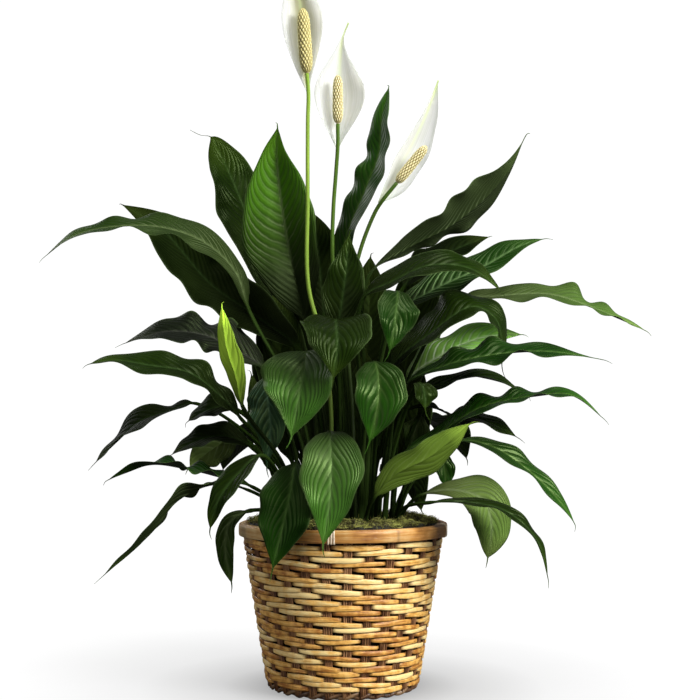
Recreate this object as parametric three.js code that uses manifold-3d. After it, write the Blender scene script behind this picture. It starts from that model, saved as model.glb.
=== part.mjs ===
// A peace lily growing in a wicker basket: about fifty glossy leaves and three white blooms rise
// from a mound of soil edged with moss, inside a plastic liner in a tapered basket of twill weave.
// Millimetres, +Z up. The origin is the middle of the basket's underside, and -Y is the front.

import * as THREE from 'three';
import { mergeVertices } from 'three/addons/utils/BufferGeometryUtils.js';
import Module from 'manifold-3d';

const wasm = await Module();
wasm.setup();

// ---------------------------------------------------------------- driving dimensions

const BASKET_HEIGHT = 175;
const RIM_RADIUS = 114;
const BASE_RADIUS = 82.5;
const RIM_BAND_HEIGHT = 12;
const RIM_BAND_THICKNESS = 2.2;
const FOOT_HEIGHT = 10;
const WALL_THICKNESS = 5;
const STAKES = 29;
const WEAVE_ROWS = 27;
const WEAVE_DEPTH = 2.4;
const BASKET_FLOOR = 14;
const BASE_DISC_RADIUS = 74;
const RIM_CREST = 1.6;
const FOOT_TWIST = 1.2;

const LINER_THICKNESS = 1.6;
const LINER_TOP_RADIUS = 101.4;
const LINER_LIP = 3;
const CLEARANCE = 0.4;

const SOIL_EDGE_Z = 152;
const SOIL_CROWN_Z = 168;
const ROOT_Z = 122;
const HOLE_Z = ROOT_Z - CLEARANCE;
const HOLE_CLEARANCE = 0.5;
const STEM_EMERGES = 2;
const MOSS_INNER_RADIUS = 74;
const MOSS_HEIGHT = 24;
const MOSS_LUMP = 1.2;

const PETIOLE_RADIUS = 2.3;
const BLADE_THICKNESS = 1.1;
const BLADE_FOLD = 0.2;
const EDGE_WAVE = 0.07;
const EDGE_WAVES = 2.3;
const LEAF_OUTLINE = [0.9, 0.95];
const PETIOLE_STEPS = 3;
const BLADE_STEPS = 9;
const BEND_OUT = 0.3;
const BEND_UP = 0.55;

const STALK_RADIUS = 2.6;
const STALK_TIP_RADIUS = 2.2;
const STALK_STEPS = 18;
const STALK_STRAIGHT = 24;
const BACK = Math.PI / 2;
const SEAT_GAP = 0.3;
const CLASP_GAP = 0.5;
const SPATHE_THICKNESS = 1.2;
const SPATHE_END_HALF_WIDTH = 1.4;
const SPATHE_COLUMNS = [-1, -0.66, -0.33, 0, 0.33, 0.66, 1];
const SPATHE_CURL = 0.8;
const SPATHE_DRAW_IN = 0.12;
const SPATHE_STEPS = 11;
const SPADIX_SIDES = 10;
const SPADIX_ROWS = 12;
const SPADIX_RELIEF = 0.14;
const SPADIX_TAPER = 0.9;
const SPADIX_END_SHARE = 0.12;

const LEAF_GREEN = 0x2c5a22;
const LEAF_BRIGHT = 0x5c8a2c;
const LEAF_LIME = 0x97b83a;
const LEAF_OLIVE = 0x5d7038;

// ---------------------------------------------------------------- leaves, front view then depth

// Each leaf: `root` is where its stalk enters the soil, `neck` where the blade begins, and `blade` the
// points that its midrib bends through, the last being the tip. `lean` is the compass heading that it
// arches towards, in degrees from +X. `width` is the blade's full width, and `roll` turns the blade
// about its midrib, at its base and at its tip. `fold` is how steeply its halves rise from the midrib.
// Leaves that share a `shoot` grow from one sheath.
const LEAVES = [
  { name: 'leaf_back_left_tall', lean: 115, width: 74, roll: [0, 0], root: [-18, 30], outline: [0.8, 0.7],
    neck: [-70, 96, 410], blade: [[-100, 124, 490], [-126, 142, 556], [-150, 150, 610], [-164, 146, 636]] },
  { name: 'leaf_tall_bright', lean: 95, width: 88, roll: [-18, -25], root: [-12, 14], colour: LEAF_BRIGHT,
    outline: [1, 1.15], fold: 0.55,
    neck: [-42, 38, 395], blade: [[-60, 52, 473], [-72, 58, 542], [-77, 56, 594], [-76, 50, 626]] },
  { name: 'leaf_left_high_arch', lean: 180, width: 43, roll: [-48, -25], root: [-24, 0],
    neck: [-102, -12, 405],
    blade: [[-118, -14, 449], [-151, -16, 481], [-195, -18, 497], [-244, -18, 499], [-294, -16, 489],
      [-326, -14, 467]] },
  { name: 'leaf_left_back_dark', lean: 140, width: 70, roll: [-38, -30], root: [-14, 24],
    neck: [-46, 50, 362], blade: [[-99, 70, 406], [-157, 84, 448], [-214, 92, 512], [-262, 92, 542]] },
  { name: 'leaf_left_grey_wing', lean: 170, width: 60, roll: [-45, -30], root: [-30, 14],
    neck: [-87, 28, 343], blade: [[-122, 40, 367], [-158, 48, 384], [-204, 50, 388], [-249, 48, 375]] },
  { name: 'leaf_young_lime', lean: 160, width: 26, roll: [80, 80], root: [-44, -48], colour: LEAF_LIME,
    neck: [-103, -80, 300], blade: [[-110, -84, 331], [-120, -86, 363], [-125, -86, 404]] },
  { name: 'leaf_left_mid_long', lean: 182, width: 50, roll: [-30, -30], root: [-46, -8],
    neck: [-107, -40, 287],
    blade: [[-131, -44, 313], [-163, -46, 337], [-205, -46, 345], [-246, -44, 351], [-270, -42, 347]] },
  { name: 'leaf_left_dark_wavy', lean: 180, width: 44, roll: [-25, -25], root: [-40, 24],
    neck: [-166, 40, 306], blade: [[-196, 38, 298], [-229, 34, 286], [-253, 30, 264], [-277, 28, 240]] },
  { name: 'leaf_left_under_tail', lean: 175, width: 42, roll: [-40, -30], root: [-48, 8], shoot: 'left',
    neck: [-118, -6, 300], blade: [[-143, -8, 300], [-169, -8, 286]] },
  { name: 'leaf_left_small_dark', lean: 178, width: 46, roll: [-35, -25], root: [-56, 0],
    neck: [-100, -22, 259], blade: [[-130, -26, 270], [-159, -28, 264], [-184, -28, 250]] },
  { name: 'leaf_left_small_olive', lean: 165, width: 44, roll: [60, 60], root: [-48, 8], shoot: 'left',
    colour: LEAF_OLIVE, neck: [-118, 26, 269], blade: [[-145, 36, 256], [-173, 40, 234]] },
  { name: 'leaf_left_low_long', lean: 182, width: 40, roll: [-25, 20], root: [-58, -8],
    neck: [-94, -38, 215], blade: [[-130, -46, 227], [-167, -48, 236], [-204, -48, 240], [-248, -46, 224]] },
  { name: 'leaf_left_low_arch', lean: 184, width: 36, roll: [10, 15], root: [-55, -30],
    neck: [-97, -66, 214], blade: [[-133, -80, 221], [-169, -84, 205], [-197, -84, 171], [-245, -82, 128]] },
  { name: 'leaf_left_small_droop', lean: 195, width: 29, roll: [-40, -45], root: [-49, -37],
    neck: [-83, -92, 251], blade: [[-105, -103, 233], [-123, -109, 209], [-133, -109, 178]] },
  { name: 'leaf_rim_left_small', lean: 195, width: 21, roll: [-50, -70], root: [-60, -18],
    bend: [-73, -27, 187], neck: [-100, -46, 191],
    blade: [[-118, -56, 180], [-123, -58, 154], [-116, -58, 117]] },
  { name: 'leaf_front_left_hang', lean: 250, width: 60, roll: [0, 0], root: [-34, -50],
    outline: [0.9, 1.3], neck: [-47, -92, 244],
    blade: [[-52, -110, 217], [-60, -114, 178], [-70, -112, 137]] },
  { name: 'leaf_front_centre_hang', lean: 268, width: 62, roll: [0, 0], root: [-8, -58],
    outline: [0.9, 1.3], neck: [-13, -84, 275],
    blade: [[-11, -116, 249], [-12, -130, 208], [-19, -130, 162]] },
  { name: 'leaf_centre_left_glossy', lean: 255, width: 82, roll: [0, 0], root: [-24, -36],
    outline: [0.9, 1.3], neck: [-38, -56, 358],
    blade: [[-39, -84, 346], [-44, -102, 312], [-52, -104, 269]] },
  { name: 'leaf_centre_left_dark', lean: 240, width: 48, roll: [0, 0], root: [-40, -38],
    outline: [0.9, 1.4], neck: [-81, -44, 335], blade: [[-79, -57, 313], [-76, -56, 277], [-80, -52, 238]] },
  { name: 'leaf_centre_top_arch', lean: 268, width: 74, roll: [0, 0], root: [-2, -30],
    outline: [0.9, 1.3], neck: [-7, -62, 391], blade: [[-6, -96, 382], [-5, -118, 358], [-9, -124, 328]] },
  { name: 'leaf_centre_right_heart', lean: 280, width: 54, roll: [0, 0], root: [18, -44],
    colour: LEAF_BRIGHT, fold: 0.3, outline: [0.9, 1.3], neck: [33, -84, 347],
    blade: [[37, -100, 330], [35, -110, 297], [27, -110, 264]] },
  { name: 'leaf_centre_top_upright', lean: 80, width: 46, roll: [0, 0], root: [4, -4],
    outline: [0.9, 1.3], neck: [-5, -6, 384], blade: [[0, -8, 421], [4, -8, 454], [7, -4, 493]] },
  { name: 'leaf_right_tall_narrow', lean: 70, width: 44, roll: [-25, -25], root: [8, 22],
    outline: [0.9, 0.8], neck: [-4, 44, 430],
    blade: [[4, 56, 500], [25, 62, 553], [42, 66, 600], [45, 68, 640], [53, 70, 676]] },
  { name: 'leaf_back_centre_dark', lean: 88, width: 62, roll: [0, 0], root: [-2, 36],
    neck: [-21, 72, 404], blade: [[-28, 88, 470], [-35, 96, 532]] },
  { name: 'leaf_right_high_wing', lean: 5, width: 66, roll: [-28, -35], root: [22, 10],
    outline: [1.6, 1.3, 1.5], neck: [28, 22, 448],
    blade: [[70, 26, 480], [121, 30, 507], [163, 30, 541], [188, 28, 571], [207, 26, 609]] },
  { name: 'leaf_right_back_dark', lean: 25, width: 50, roll: [32, 26], root: [20, 30],
    neck: [68, 62, 438], blade: [[119, 74, 480], [171, 80, 502]] },
  { name: 'leaf_right_striped', lean: 8, width: 52, roll: [35, 35], root: [26, -2],
    neck: [54, 0, 400], blade: [[96, 2, 429], [154, 4, 456], [197, 4, 480], [222, 4, 488]] },
  { name: 'leaf_right_long_arc', lean: 2, width: 52, roll: [32, 34], root: [18, -12],
    neck: [21, -30, 417], blade: [[53, -36, 436], [94, -40, 453], [137, -42, 449], [169, -42, 426]] },
  { name: 'leaf_right_olive_long', lean: 358, width: 44, roll: [38, 22], root: [33, 2],
    colour: LEAF_OLIVE, neck: [125, -6, 416],
    blade: [[171, -8, 423], [225, -10, 425], [263, -12, 414], [330, -14, 385]] },
  { name: 'leaf_right_centre_hook', lean: 355, width: 66, roll: [30, 30], root: [30, -18],
    outline: [0.9, 1.4], neck: [48, -54, 338],
    blade: [[92, -60, 378], [139, -56, 407], [164, -50, 392], [170, -44, 342]] },
  { name: 'leaf_centre_right_drop', lean: 290, width: 44, roll: [0, 0], root: [22, -30],
    outline: [0.9, 1.3], neck: [58, -66, 422], blade: [[56, -84, 403], [53, -92, 380], [48, -94, 357]] },
  { name: 'leaf_right_mid_long', lean: 356, width: 48, roll: [30, 25], root: [44, -16],
    outline: [1.2, 1.2, 1.6], neck: [63, -58, 321],
    blade: [[108, -72, 344], [166, -78, 356], [213, -78, 358], [270, -76, 350]] },
  { name: 'leaf_right_bright_striped', lean: 4, width: 52, roll: [40, 40], root: [38, 8],
    colour: LEAF_BRIGHT, neck: [68, 20, 327], blade: [[109, 22, 359], [154, 24, 379], [200, 24, 383]] },
  { name: 'leaf_right_thin_tail', lean: 0, width: 34, roll: [20, 20], root: [43, -9],
    neck: [71, -17, 309], blade: [[111, -24, 327], [154, -26, 334], [198, -26, 314]] },
  { name: 'leaf_right_small_drop', lean: 300, width: 30, roll: [0, 0], root: [43, -28],
    outline: [0.9, 1.3], neck: [79, -80, 325], blade: [[84, -88, 316], [85, -90, 298]] },
  { name: 'leaf_right_dark_sliver', lean: 0, width: 22, roll: [10, 10], root: [52, 10], shoot: 'right',
    neck: [69, 10, 296], blade: [[99, 10, 301], [125, 10, 288]] },
  { name: 'leaf_right_low_long', lean: 358, width: 40, roll: [25, 15], root: [52, -12],
    neck: [61, -38, 247],
    blade: [[104, -45, 274], [146, -50, 300], [200, -51, 312], [243, -51, 313], [275, -49, 290]] },
  { name: 'leaf_right_low_short', lean: 358, width: 34, roll: [35, 30], root: [56, -2],
    neck: [105, -16, 274], blade: [[136, -18, 290], [157, -18, 285], [188, -18, 269]] },
  { name: 'leaf_right_low_arch', lean: 352, width: 30, roll: [30, 30], root: [54, -20],
    neck: [118, -56, 264], blade: [[155, -60, 260], [196, -62, 233], [225, -62, 204], [242, -60, 180]] },
  { name: 'leaf_right_front_olive', lean: 340, width: 36, roll: [-72, -60], root: [22, -56],
    colour: LEAF_OLIVE, neck: [32, -84, 207], blade: [[54, -88, 231], [90, -90, 250], [131, -88, 283]] },
  { name: 'leaf_rim_right_droop', lean: 345, width: 50, roll: [30, 60], root: [56, -30], outline: [1.3, 0.9],
    neck: [81, -58, 208], blade: [[117, -66, 214], [146, -72, 204], [154, -74, 179], [150, -74, 145]] },
  { name: 'leaf_rim_right_thin', lean: 350, width: 22, roll: [20, 20], root: [50, -42],
    bend: [62, -62, 194], neck: [88, -92, 203],
    blade: [[125, -102, 204], [165, -106, 195], [196, -106, 166], [207, -104, 129]] },
  { name: 'leaf_right_small_green', lean: 350, width: 24, roll: [60, 60], root: [52, 10], shoot: 'right',
    neck: [107, 4, 252], blade: [[111, 4, 238], [114, 4, 214]] },
  { name: 'leaf_back_left_arch', lean: 112, width: 66, roll: [0, 10], root: [-30, 46], shoot: 'back_left',
    neck: [-52, 96, 330], blade: [[-66, 140, 352], [-84, 186, 340], [-98, 222, 300]] },
  { name: 'leaf_back_left_low', lean: 128, width: 56, roll: [10, 0], root: [-30, 46], shoot: 'back_left',
    neck: [-70, 92, 262], blade: [[-98, 124, 276], [-128, 154, 262], [-150, 180, 226]] },
  { name: 'leaf_back_high_arch', lean: 90, width: 70, roll: [0, 0], root: [2, 54], shoot: 'back',
    neck: [2, 112, 372], blade: [[4, 150, 402], [6, 196, 398], [8, 236, 362]] },
  { name: 'leaf_back_mid', lean: 96, width: 60, roll: [0, -10], root: [2, 54], shoot: 'back',
    neck: [-8, 108, 262], blade: [[-12, 148, 280], [-18, 188, 264], [-24, 216, 222]] },
  { name: 'leaf_back_right_arch', lean: 70, width: 64, roll: [0, -10], root: [32, 46], shoot: 'back_right',
    neck: [46, 94, 340], blade: [[60, 134, 366], [78, 178, 360], [94, 214, 326]] },
  { name: 'leaf_back_right_low', lean: 52, width: 56, roll: [-10, 0], root: [32, 46], shoot: 'back_right',
    neck: [68, 86, 272], blade: [[98, 118, 288], [128, 150, 276], [152, 176, 240]] },
  { name: 'leaf_back_rim_left', lean: 98, width: 46, roll: [0, 0], root: [12, 64], shoot: 'back_rim',
    neck: [14, 100, 214], blade: [[10, 132, 222], [6, 162, 200], [2, 178, 160]] },
  { name: 'leaf_back_rim_right', lean: 62, width: 44, roll: [0, 0], root: [12, 64], shoot: 'back_rim',
    neck: [44, 104, 222], blade: [[64, 134, 230], [84, 162, 212], [96, 178, 176]] },
  { name: 'leaf_inner_left', lean: 95, width: 50, roll: [0, 0], root: [-30, 46], shoot: 'back_left',
    neck: [-30, 76, 214], blade: [[-31, 90, 258], [-28, 100, 304], [-24, 108, 348]] },
  { name: 'leaf_inner_middle', lean: 88, width: 60, roll: [0, 0], root: [2, 54], shoot: 'back',
    outline: [0.9, 1.4], neck: [18, 82, 222], blade: [[26, 96, 268], [30, 104, 316], [30, 108, 362]] },
  { name: 'leaf_inner_right', lean: 60, width: 50, roll: [0, 0], root: [32, 46], shoot: 'back_right',
    outline: [0.9, 1.4], neck: [66, 56, 226], blade: [[80, 58, 270], [88, 60, 314], [92, 60, 350]] },
  { name: 'leaf_inner_back_left', lean: 130, width: 58, roll: [0, 0], root: [-30, 46], shoot: 'back_left',
    neck: [-62, 78, 268], blade: [[-78, 92, 320], [-88, 104, 372], [-92, 112, 418]] },
  { name: 'leaf_inner_back_right', lean: 60, width: 56, roll: [0, 0], root: [32, 46], shoot: 'back_right',
    outline: [0.9, 1.4], neck: [54, 84, 316], blade: [[66, 98, 366], [74, 110, 414], [78, 118, 456]] },
  { name: 'leaf_right_small_olive', lean: 10, width: 34, roll: [70, 70], root: [52, 10], shoot: 'right',
    colour: LEAF_OLIVE, neck: [86, 26, 294], blade: [[81, 28, 276], [74, 28, 253]] },
];

// ---------------------------------------------------------------- blooms

// `route` is the flower stalk's way up, and `spike` the low and the high end of the spadix that it
// carries. The spathe clasps the stalk `clasp` below the spadix, and `hood` is the rest of its midrib up
// to the tip. `cup` is how far its edges curl forward, and `roll` turns it about its midrib.
const BLOOMS = [
  { name: 'left', root: [-14, -8], spikeRadius: 8, spike: [[-40, -11, 671], [-45, -12, 744]],
    route: [[-13, -6, 232], [-13, -5, 293], [-20, -5, 365], [-38, -6, 434], [-39, -8, 532], [-39, -10, 620]],
    clasp: 27, hood: [[-42, -1, 672], [-44, 3, 704], [-46, 1, 738], [-51, -6, 767], [-56, -14, 784]],
    width: 50, roll: 0, cup: 0.8, outline: [1.5, 0.95] },
  { name: 'middle', root: [-3, 14], spikeRadius: 6.4, spike: [[-6, 8, 619], [-6, 7, 674]],
    route: [[-4, 16, 300], [-8, 15, 421], [-12, 14, 472], [-11, 13, 523], [-8, 11, 565]],
    clasp: 34, hood: [[-6, 18, 612], [-4, 22, 648], [-4, 20, 683], [-1, 14, 717], [6, 10, 735]],
    width: 62, roll: 0, cup: 0.7, outline: [1.8, 2.2, 1.8] },
  { name: 'right', root: [14, 0], spikeRadius: 6.4, spike: [[60, 7, 552], [93, 5, 593]],
    route: [[10, 10, 300], [4, 15, 399], [11, 16, 444], [22, 16, 486], [37, 12, 522]],
    clasp: 30, hood: [[54, 20, 552], [64, 24, 574], [79, 25, 602], [93, 20, 631], [100, 15, 649],
      [107, 10, 669]],
    width: 43, roll: 42, cup: 0.7, outline: [0.9, 1.4] },
];

// ---------------------------------------------------------------- small helpers

const vec = (x, y, z) => new THREE.Vector3(x, y, z);
const radians = THREE.MathUtils.degToRad;
const mix = THREE.MathUtils.lerp;
const smooth = THREE.MathUtils.smoothstep;

function material(color, roughness, metalness = 0) {
  return new THREE.MeshStandardMaterial({ color, roughness, metalness, flatShading: true });
}

function mesh(name, geometry, look) {
  const made = new THREE.Mesh(geometry, look);
  made.name = name;
  return made;
}

function geometryOf(points, faces) {
  const geometry = new THREE.BufferGeometry().setFromPoints(points);
  geometry.setIndex(faces);
  geometry.computeVertexNormals();
  return geometry;
}

// A closed geometry as a solid that can be joined or cut.
function solidOf(geometry) {
  const bare = geometry.clone();
  bare.deleteAttribute('normal');
  bare.deleteAttribute('uv');
  const merged = mergeVertices(bare, 1e-3);
  return new wasm.Manifold(new wasm.Mesh({
    numProp: 3,
    vertProperties: merged.attributes.position.array,
    triVerts: new Uint32Array(merged.index.array),
  }));
}

function geometryFrom(solid) {
  const { numProp, vertProperties, triVerts } = solid.getMesh();
  const geometry = new THREE.BufferGeometry();
  const places = new THREE.InterleavedBuffer(vertProperties, numProp);
  geometry.setAttribute('position', new THREE.InterleavedBufferAttribute(places, 3, 0));
  geometry.setIndex(new THREE.BufferAttribute(triVerts, 1));
  geometry.computeVertexNormals();
  return geometry;
}

const curveThrough = (points) => new THREE.CatmullRomCurve3(points, false, 'centripetal');

// A body with two like faces. rows[i][j] holds the upper and the lower point of column j, and both
// faces split each cell along the same diagonal, so that a thin waved sheet never crosses itself.
function sheet(rows) {
  const columns = rows[0].length;
  const last = rows.length - 1;
  const points = rows.flat(2);
  const at = (row, column, side) => 2 * (row * columns + column) + side;
  const faces = [];
  const quad = (a, b, c, d) => faces.push(a, c, b, a, d, c);
  for (let i = 0; i < last; i++) {
    for (let j = 0; j < columns - 1; j++) {
      quad(at(i, j, 0), at(i, j + 1, 0), at(i + 1, j + 1, 0), at(i + 1, j, 0));
      const [a, b, c, d] = [at(i, j, 1), at(i, j + 1, 1), at(i + 1, j + 1, 1), at(i + 1, j, 1)];
      faces.push(a, b, c, a, c, d);
    }
    quad(at(i, 0, 1), at(i, 0, 0), at(i + 1, 0, 0), at(i + 1, 0, 1));
    quad(at(i, columns - 1, 0), at(i, columns - 1, 1), at(i + 1, columns - 1, 1), at(i + 1, columns - 1, 0));
  }
  for (let j = 0; j < columns - 1; j++) {
    quad(at(0, j, 0), at(0, j, 1), at(0, j + 1, 1), at(0, j + 1, 0));
    quad(at(last, j, 0), at(last, j + 1, 0), at(last, j + 1, 1), at(last, j, 1));
  }
  return geometryOf(points, faces);
}

// A round stem's section as three columns of a sheet: how far across, and half its thickness there.
const HEXAGON = [[-0.87, 0.5], [0, 1], [0.87, 0.5]];

// The axes across a strip at a point of its midrib: `side` lies across it and `face` is its upper face.
// A strip that heads out level along `lean` has its face up; `roll` then turns it about the midrib.
function axesAcross(tangent, lean, roll) {
  const side = vec(-Math.sin(lean), Math.cos(lean), 0);
  side.addScaledVector(tangent, -side.dot(tangent)).normalize();
  const face = vec(0, 0, 0).crossVectors(tangent, side);
  return {
    side: side.clone().multiplyScalar(Math.cos(roll)).addScaledVector(face, Math.sin(roll)),
    face: face.clone().multiplyScalar(Math.cos(roll)).addScaledVector(side, -Math.sin(roll)),
  };
}

// One row of a sheet: each [across, up, half thickness] in `section` gives an upper and a lower point.
function row(centre, { side, face }, section) {
  return section.map(([across, up, half]) => [1, -1].map((sign) =>
    centre.clone().addScaledVector(side, across).addScaledVector(face, up + sign * half)));
}

// ---------------------------------------------------------------- basket, liner, soil and moss

const WALL_TOP = BASKET_HEIGHT - CLEARANCE;
const BAND_LOW = BASKET_HEIGHT - RIM_BAND_HEIGHT;
const LINER_BASE = BASKET_FLOOR + CLEARANCE;
const LINER_SHOULDER = BAND_LOW - 3;
const SOIL_BASE = LINER_BASE + LINER_THICKNESS + CLEARANCE;

const wallRadius = (z) => mix(BASE_RADIUS, RIM_RADIUS - RIM_BAND_THICKNESS, z / BASKET_HEIGHT);
const innerRadius = (z) => wallRadius(z) - WALL_THICKNESS;
const linerBaseRadius = innerRadius(LINER_BASE) - CLEARANCE;
const linerRadius = (z) =>
  mix(linerBaseRadius, LINER_TOP_RADIUS, Math.min((z - LINER_BASE) / (LINER_SHOULDER - LINER_BASE), 1));
const soilZ = (radius) => mix(SOIL_CROWN_Z, SOIL_EDGE_Z, (radius / LINER_TOP_RADIUS) ** 2);

// A closed body around the vertical axis from rings of [radius, z], listed up the outside and down the
// inside. With `capped` the first and the last ring each close on the axis.
function ringBody(rings, sides, capped) {
  const points = rings.flatMap((ring) => Array.from({ length: sides }, (_, i) => {
    const turn = (i / sides) * 2 * Math.PI;
    const [radius, z] = ring(i);
    return vec(radius * Math.cos(turn), radius * Math.sin(turn), z);
  }));
  const faces = [];
  const last = rings.length - 1;
  const links = capped ? last : last + 1;
  for (let k = 0; k < links; k++) {
    const above = (k + 1) % rings.length;
    for (let i = 0; i < sides; i++) {
      const next = (i + 1) % sides;
      const [a, b, c, d] = [k * sides + i, k * sides + next, above * sides + next, above * sides + i];
      faces.push(a, b, c, a, c, d);
    }
  }
  if (capped) {
    const [under, over] = [points.length, points.length + 1];
    points.push(vec(0, 0, rings[0](0)[1]), vec(0, 0, rings[last](0)[1]));
    for (let i = 0; i < sides; i++) {
      const next = (i + 1) % sides;
      faces.push(under, next, i, over, last * sides + i, last * sides + next);
    }
  }
  return geometryOf(points, faces);
}

// Base disc and wall in one body. A strand passes over two stakes and under one, so the wall steps in
// at every third stake, one stake further along in each row.
function basketBody() {
  const rowZ = (level) => mix(FOOT_HEIGHT + CLEARANCE, BAND_LOW, (level + 0.5) / WEAVE_ROWS);
  const rows = Array.from({ length: WEAVE_ROWS }, (_, level) => (i) => {
    const inward = (i + level) % 3 === 0 ? WEAVE_DEPTH : 0;
    return [wallRadius(rowZ(level)) - inward, rowZ(level)];
  });
  return ringBody([
    () => [BASE_DISC_RADIUS, 0],
    () => [BASE_DISC_RADIUS, FOOT_HEIGHT + CLEARANCE],
    () => [wallRadius(FOOT_HEIGHT) - WEAVE_DEPTH, FOOT_HEIGHT + CLEARANCE],
    ...rows,
    () => [wallRadius(WALL_TOP) - WEAVE_DEPTH, WALL_TOP],
    () => [innerRadius(WALL_TOP), WALL_TOP],
    () => [innerRadius(BASKET_FLOOR), BASKET_FLOOR],
  ], STAKES, true);
}

// The two hoops that clamp the top of the wall, outside and inside, bound together over its edge.
function rimHoops() {
  const outside = RIM_RADIUS;
  const wallOut = wallRadius(WALL_TOP) - WEAVE_DEPTH + CLEARANCE;
  const wallIn = innerRadius(BAND_LOW) - CLEARANCE;
  const inside = wallIn - RIM_BAND_THICKNESS;
  const crest = BASKET_HEIGHT + RIM_CREST;
  const outline = [
    [wallOut, BAND_LOW + 3], [outside - 1.5, BAND_LOW], [outside, BAND_LOW + 3],
    [outside, BASKET_HEIGHT - 1], [outside - 2, crest], [inside + 1, crest],
    [inside, BASKET_HEIGHT - 1], [inside, BAND_LOW + 3], [wallIn, BAND_LOW + 3],
    [wallIn, BASKET_HEIGHT], [wallOut, BASKET_HEIGHT],
  ];
  return ringBody(outline.map((place) => () => place), STAKES, false);
}

// A rope of two strands laid round the bottom edge: its section's outer side swells and sinks.
function footRing() {
  const inside = BASE_DISC_RADIUS + CLEARANCE;
  const swell = (i) => (i % 2 === 0 ? 0 : FOOT_TWIST);
  return ringBody([
    () => [inside, 0],
    () => [BASE_RADIUS - 2, 0],
    (i) => [BASE_RADIUS - swell(i), FOOT_HEIGHT * 0.3],
    (i) => [BASE_RADIUS - FOOT_TWIST + swell(i), FOOT_HEIGHT * 0.7],
    () => [BASE_RADIUS - 2, FOOT_HEIGHT],
    () => [inside, FOOT_HEIGHT],
  ], 2 * STAKES, false);
}

function liner() {
  const top = BASKET_HEIGHT + LINER_LIP;
  const inside = (z) => linerRadius(z) - LINER_THICKNESS;
  const floor = LINER_BASE + LINER_THICKNESS;
  const ring = (radius, z) => () => [radius, z];
  return ringBody([
    ring(linerRadius(LINER_BASE), LINER_BASE), ring(linerRadius(LINER_SHOULDER), LINER_SHOULDER),
    ring(linerRadius(top), top), ring(inside(top), top), ring(inside(LINER_SHOULDER), LINER_SHOULDER),
    ring(inside(floor), floor),
  ], STAKES, true);
}

// A mound with a plain round hole for every stem. Each stem stands straight in its hole.
function soil() {
  const outside = (z) => linerRadius(z) - LINER_THICKNESS - CLEARANCE;
  const levels = [1, 0.92, 0.66, 0.33].map((part) => part * outside(SOIL_EDGE_Z));
  let body = solidOf(ringBody([
    () => [outside(SOIL_BASE), SOIL_BASE],
    ...levels.map((radius) => () => [radius, soilZ(radius)]),
  ], STAKES, true));
  for (const [x, y, radius] of stemPlaces()) {
    const depth = SOIL_CROWN_Z + 5 - HOLE_Z;
    const hole = new THREE.CylinderGeometry(radius, radius, depth, 6).rotateX(Math.PI / 2);
    hole.translate(x, y, HOLE_Z + depth / 2);
    body = body.subtract(solidOf(hole));
  }
  return geometryFrom(body);
}

// Every stem's place in the soil, with the radius of its hole.
function stemPlaces() {
  const places = new Map();
  for (const { root } of LEAVES) {
    places.set(String(root), [...root, PETIOLE_RADIUS + HOLE_CLEARANCE]);
  }
  for (const { root } of BLOOMS) {
    places.set(String(root), [...root, STALK_RADIUS + HOLE_CLEARANCE]);
  }
  return [...places.values()];
}

// A cushion of moss round the crown. Two waves of unlike length round the ring make its lumps.
function moss() {
  const sides = 40;
  const outside = linerRadius(SOIL_EDGE_Z) - LINER_THICKNESS - 3.5 * CLEARANCE;
  const lump = (i, phase) => MOSS_LUMP * (Math.sin(i * 1.9 + phase) + Math.sin(i * 0.83 + 2 * phase));
  const on = (radius, height, phase) => (i) => {
    const rise = height === 0 ? 0 : height + lump(i, phase);
    return [radius, soilZ(radius) + CLEARANCE + rise];
  };
  return ringBody([
    on(MOSS_INNER_RADIUS, 0, 0), on(mix(MOSS_INNER_RADIUS, outside, 0.5), 0, 0), on(outside, 0, 0),
    on(outside, MOSS_HEIGHT * 0.75, 1), on(outside - 7, MOSS_HEIGHT, 2),
    on(MOSS_INNER_RADIUS + 7, MOSS_HEIGHT * 0.9, 3), on(MOSS_INNER_RADIUS, MOSS_HEIGHT * 0.45, 4),
  ], sides, false);
}

// ---------------------------------------------------------------- leaves

// The midrib: upright out of the soil, bent over along the stalk, then through the blade's points.
function midrib({ root, bend, neck, blade }) {
  const [x, y] = root;
  const start = soilZ(Math.hypot(x, y)) + STEM_EMERGES;
  const usual = [mix(x, neck[0], BEND_OUT), mix(y, neck[1], BEND_OUT), mix(start, neck[2], BEND_UP)];
  return curveThrough([[x, y, start], bend ?? usual, neck, ...blade].map((p) => vec(...p)));
}

// How far along a curve, from 0 to 1 of its length, it comes nearest to a point.
function partAt(curve, point) {
  const tries = 200;
  let best = 0;
  for (let k = 1; k <= tries; k++) {
    const nearer = curve.getPointAt(k / tries).distanceTo(point)
      < curve.getPointAt(best / tries).distanceTo(point);
    if (nearer) best = k;
  }
  return best / tries;
}

// The share of its full width that a blade has at a part of its length. `rise` shapes its base and
// `fall` its tip: over 1 draws that end out thin, under 1 rounds it. `drawn` thins the tip further.
function outlineShare(part, [rise, fall, drawn = 1]) {
  const widest = rise / (rise + fall);
  const share = (part / widest) ** rise * ((1 - part) / (1 - widest)) ** fall;
  return part > widest ? share ** drawn : share;
}

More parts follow.
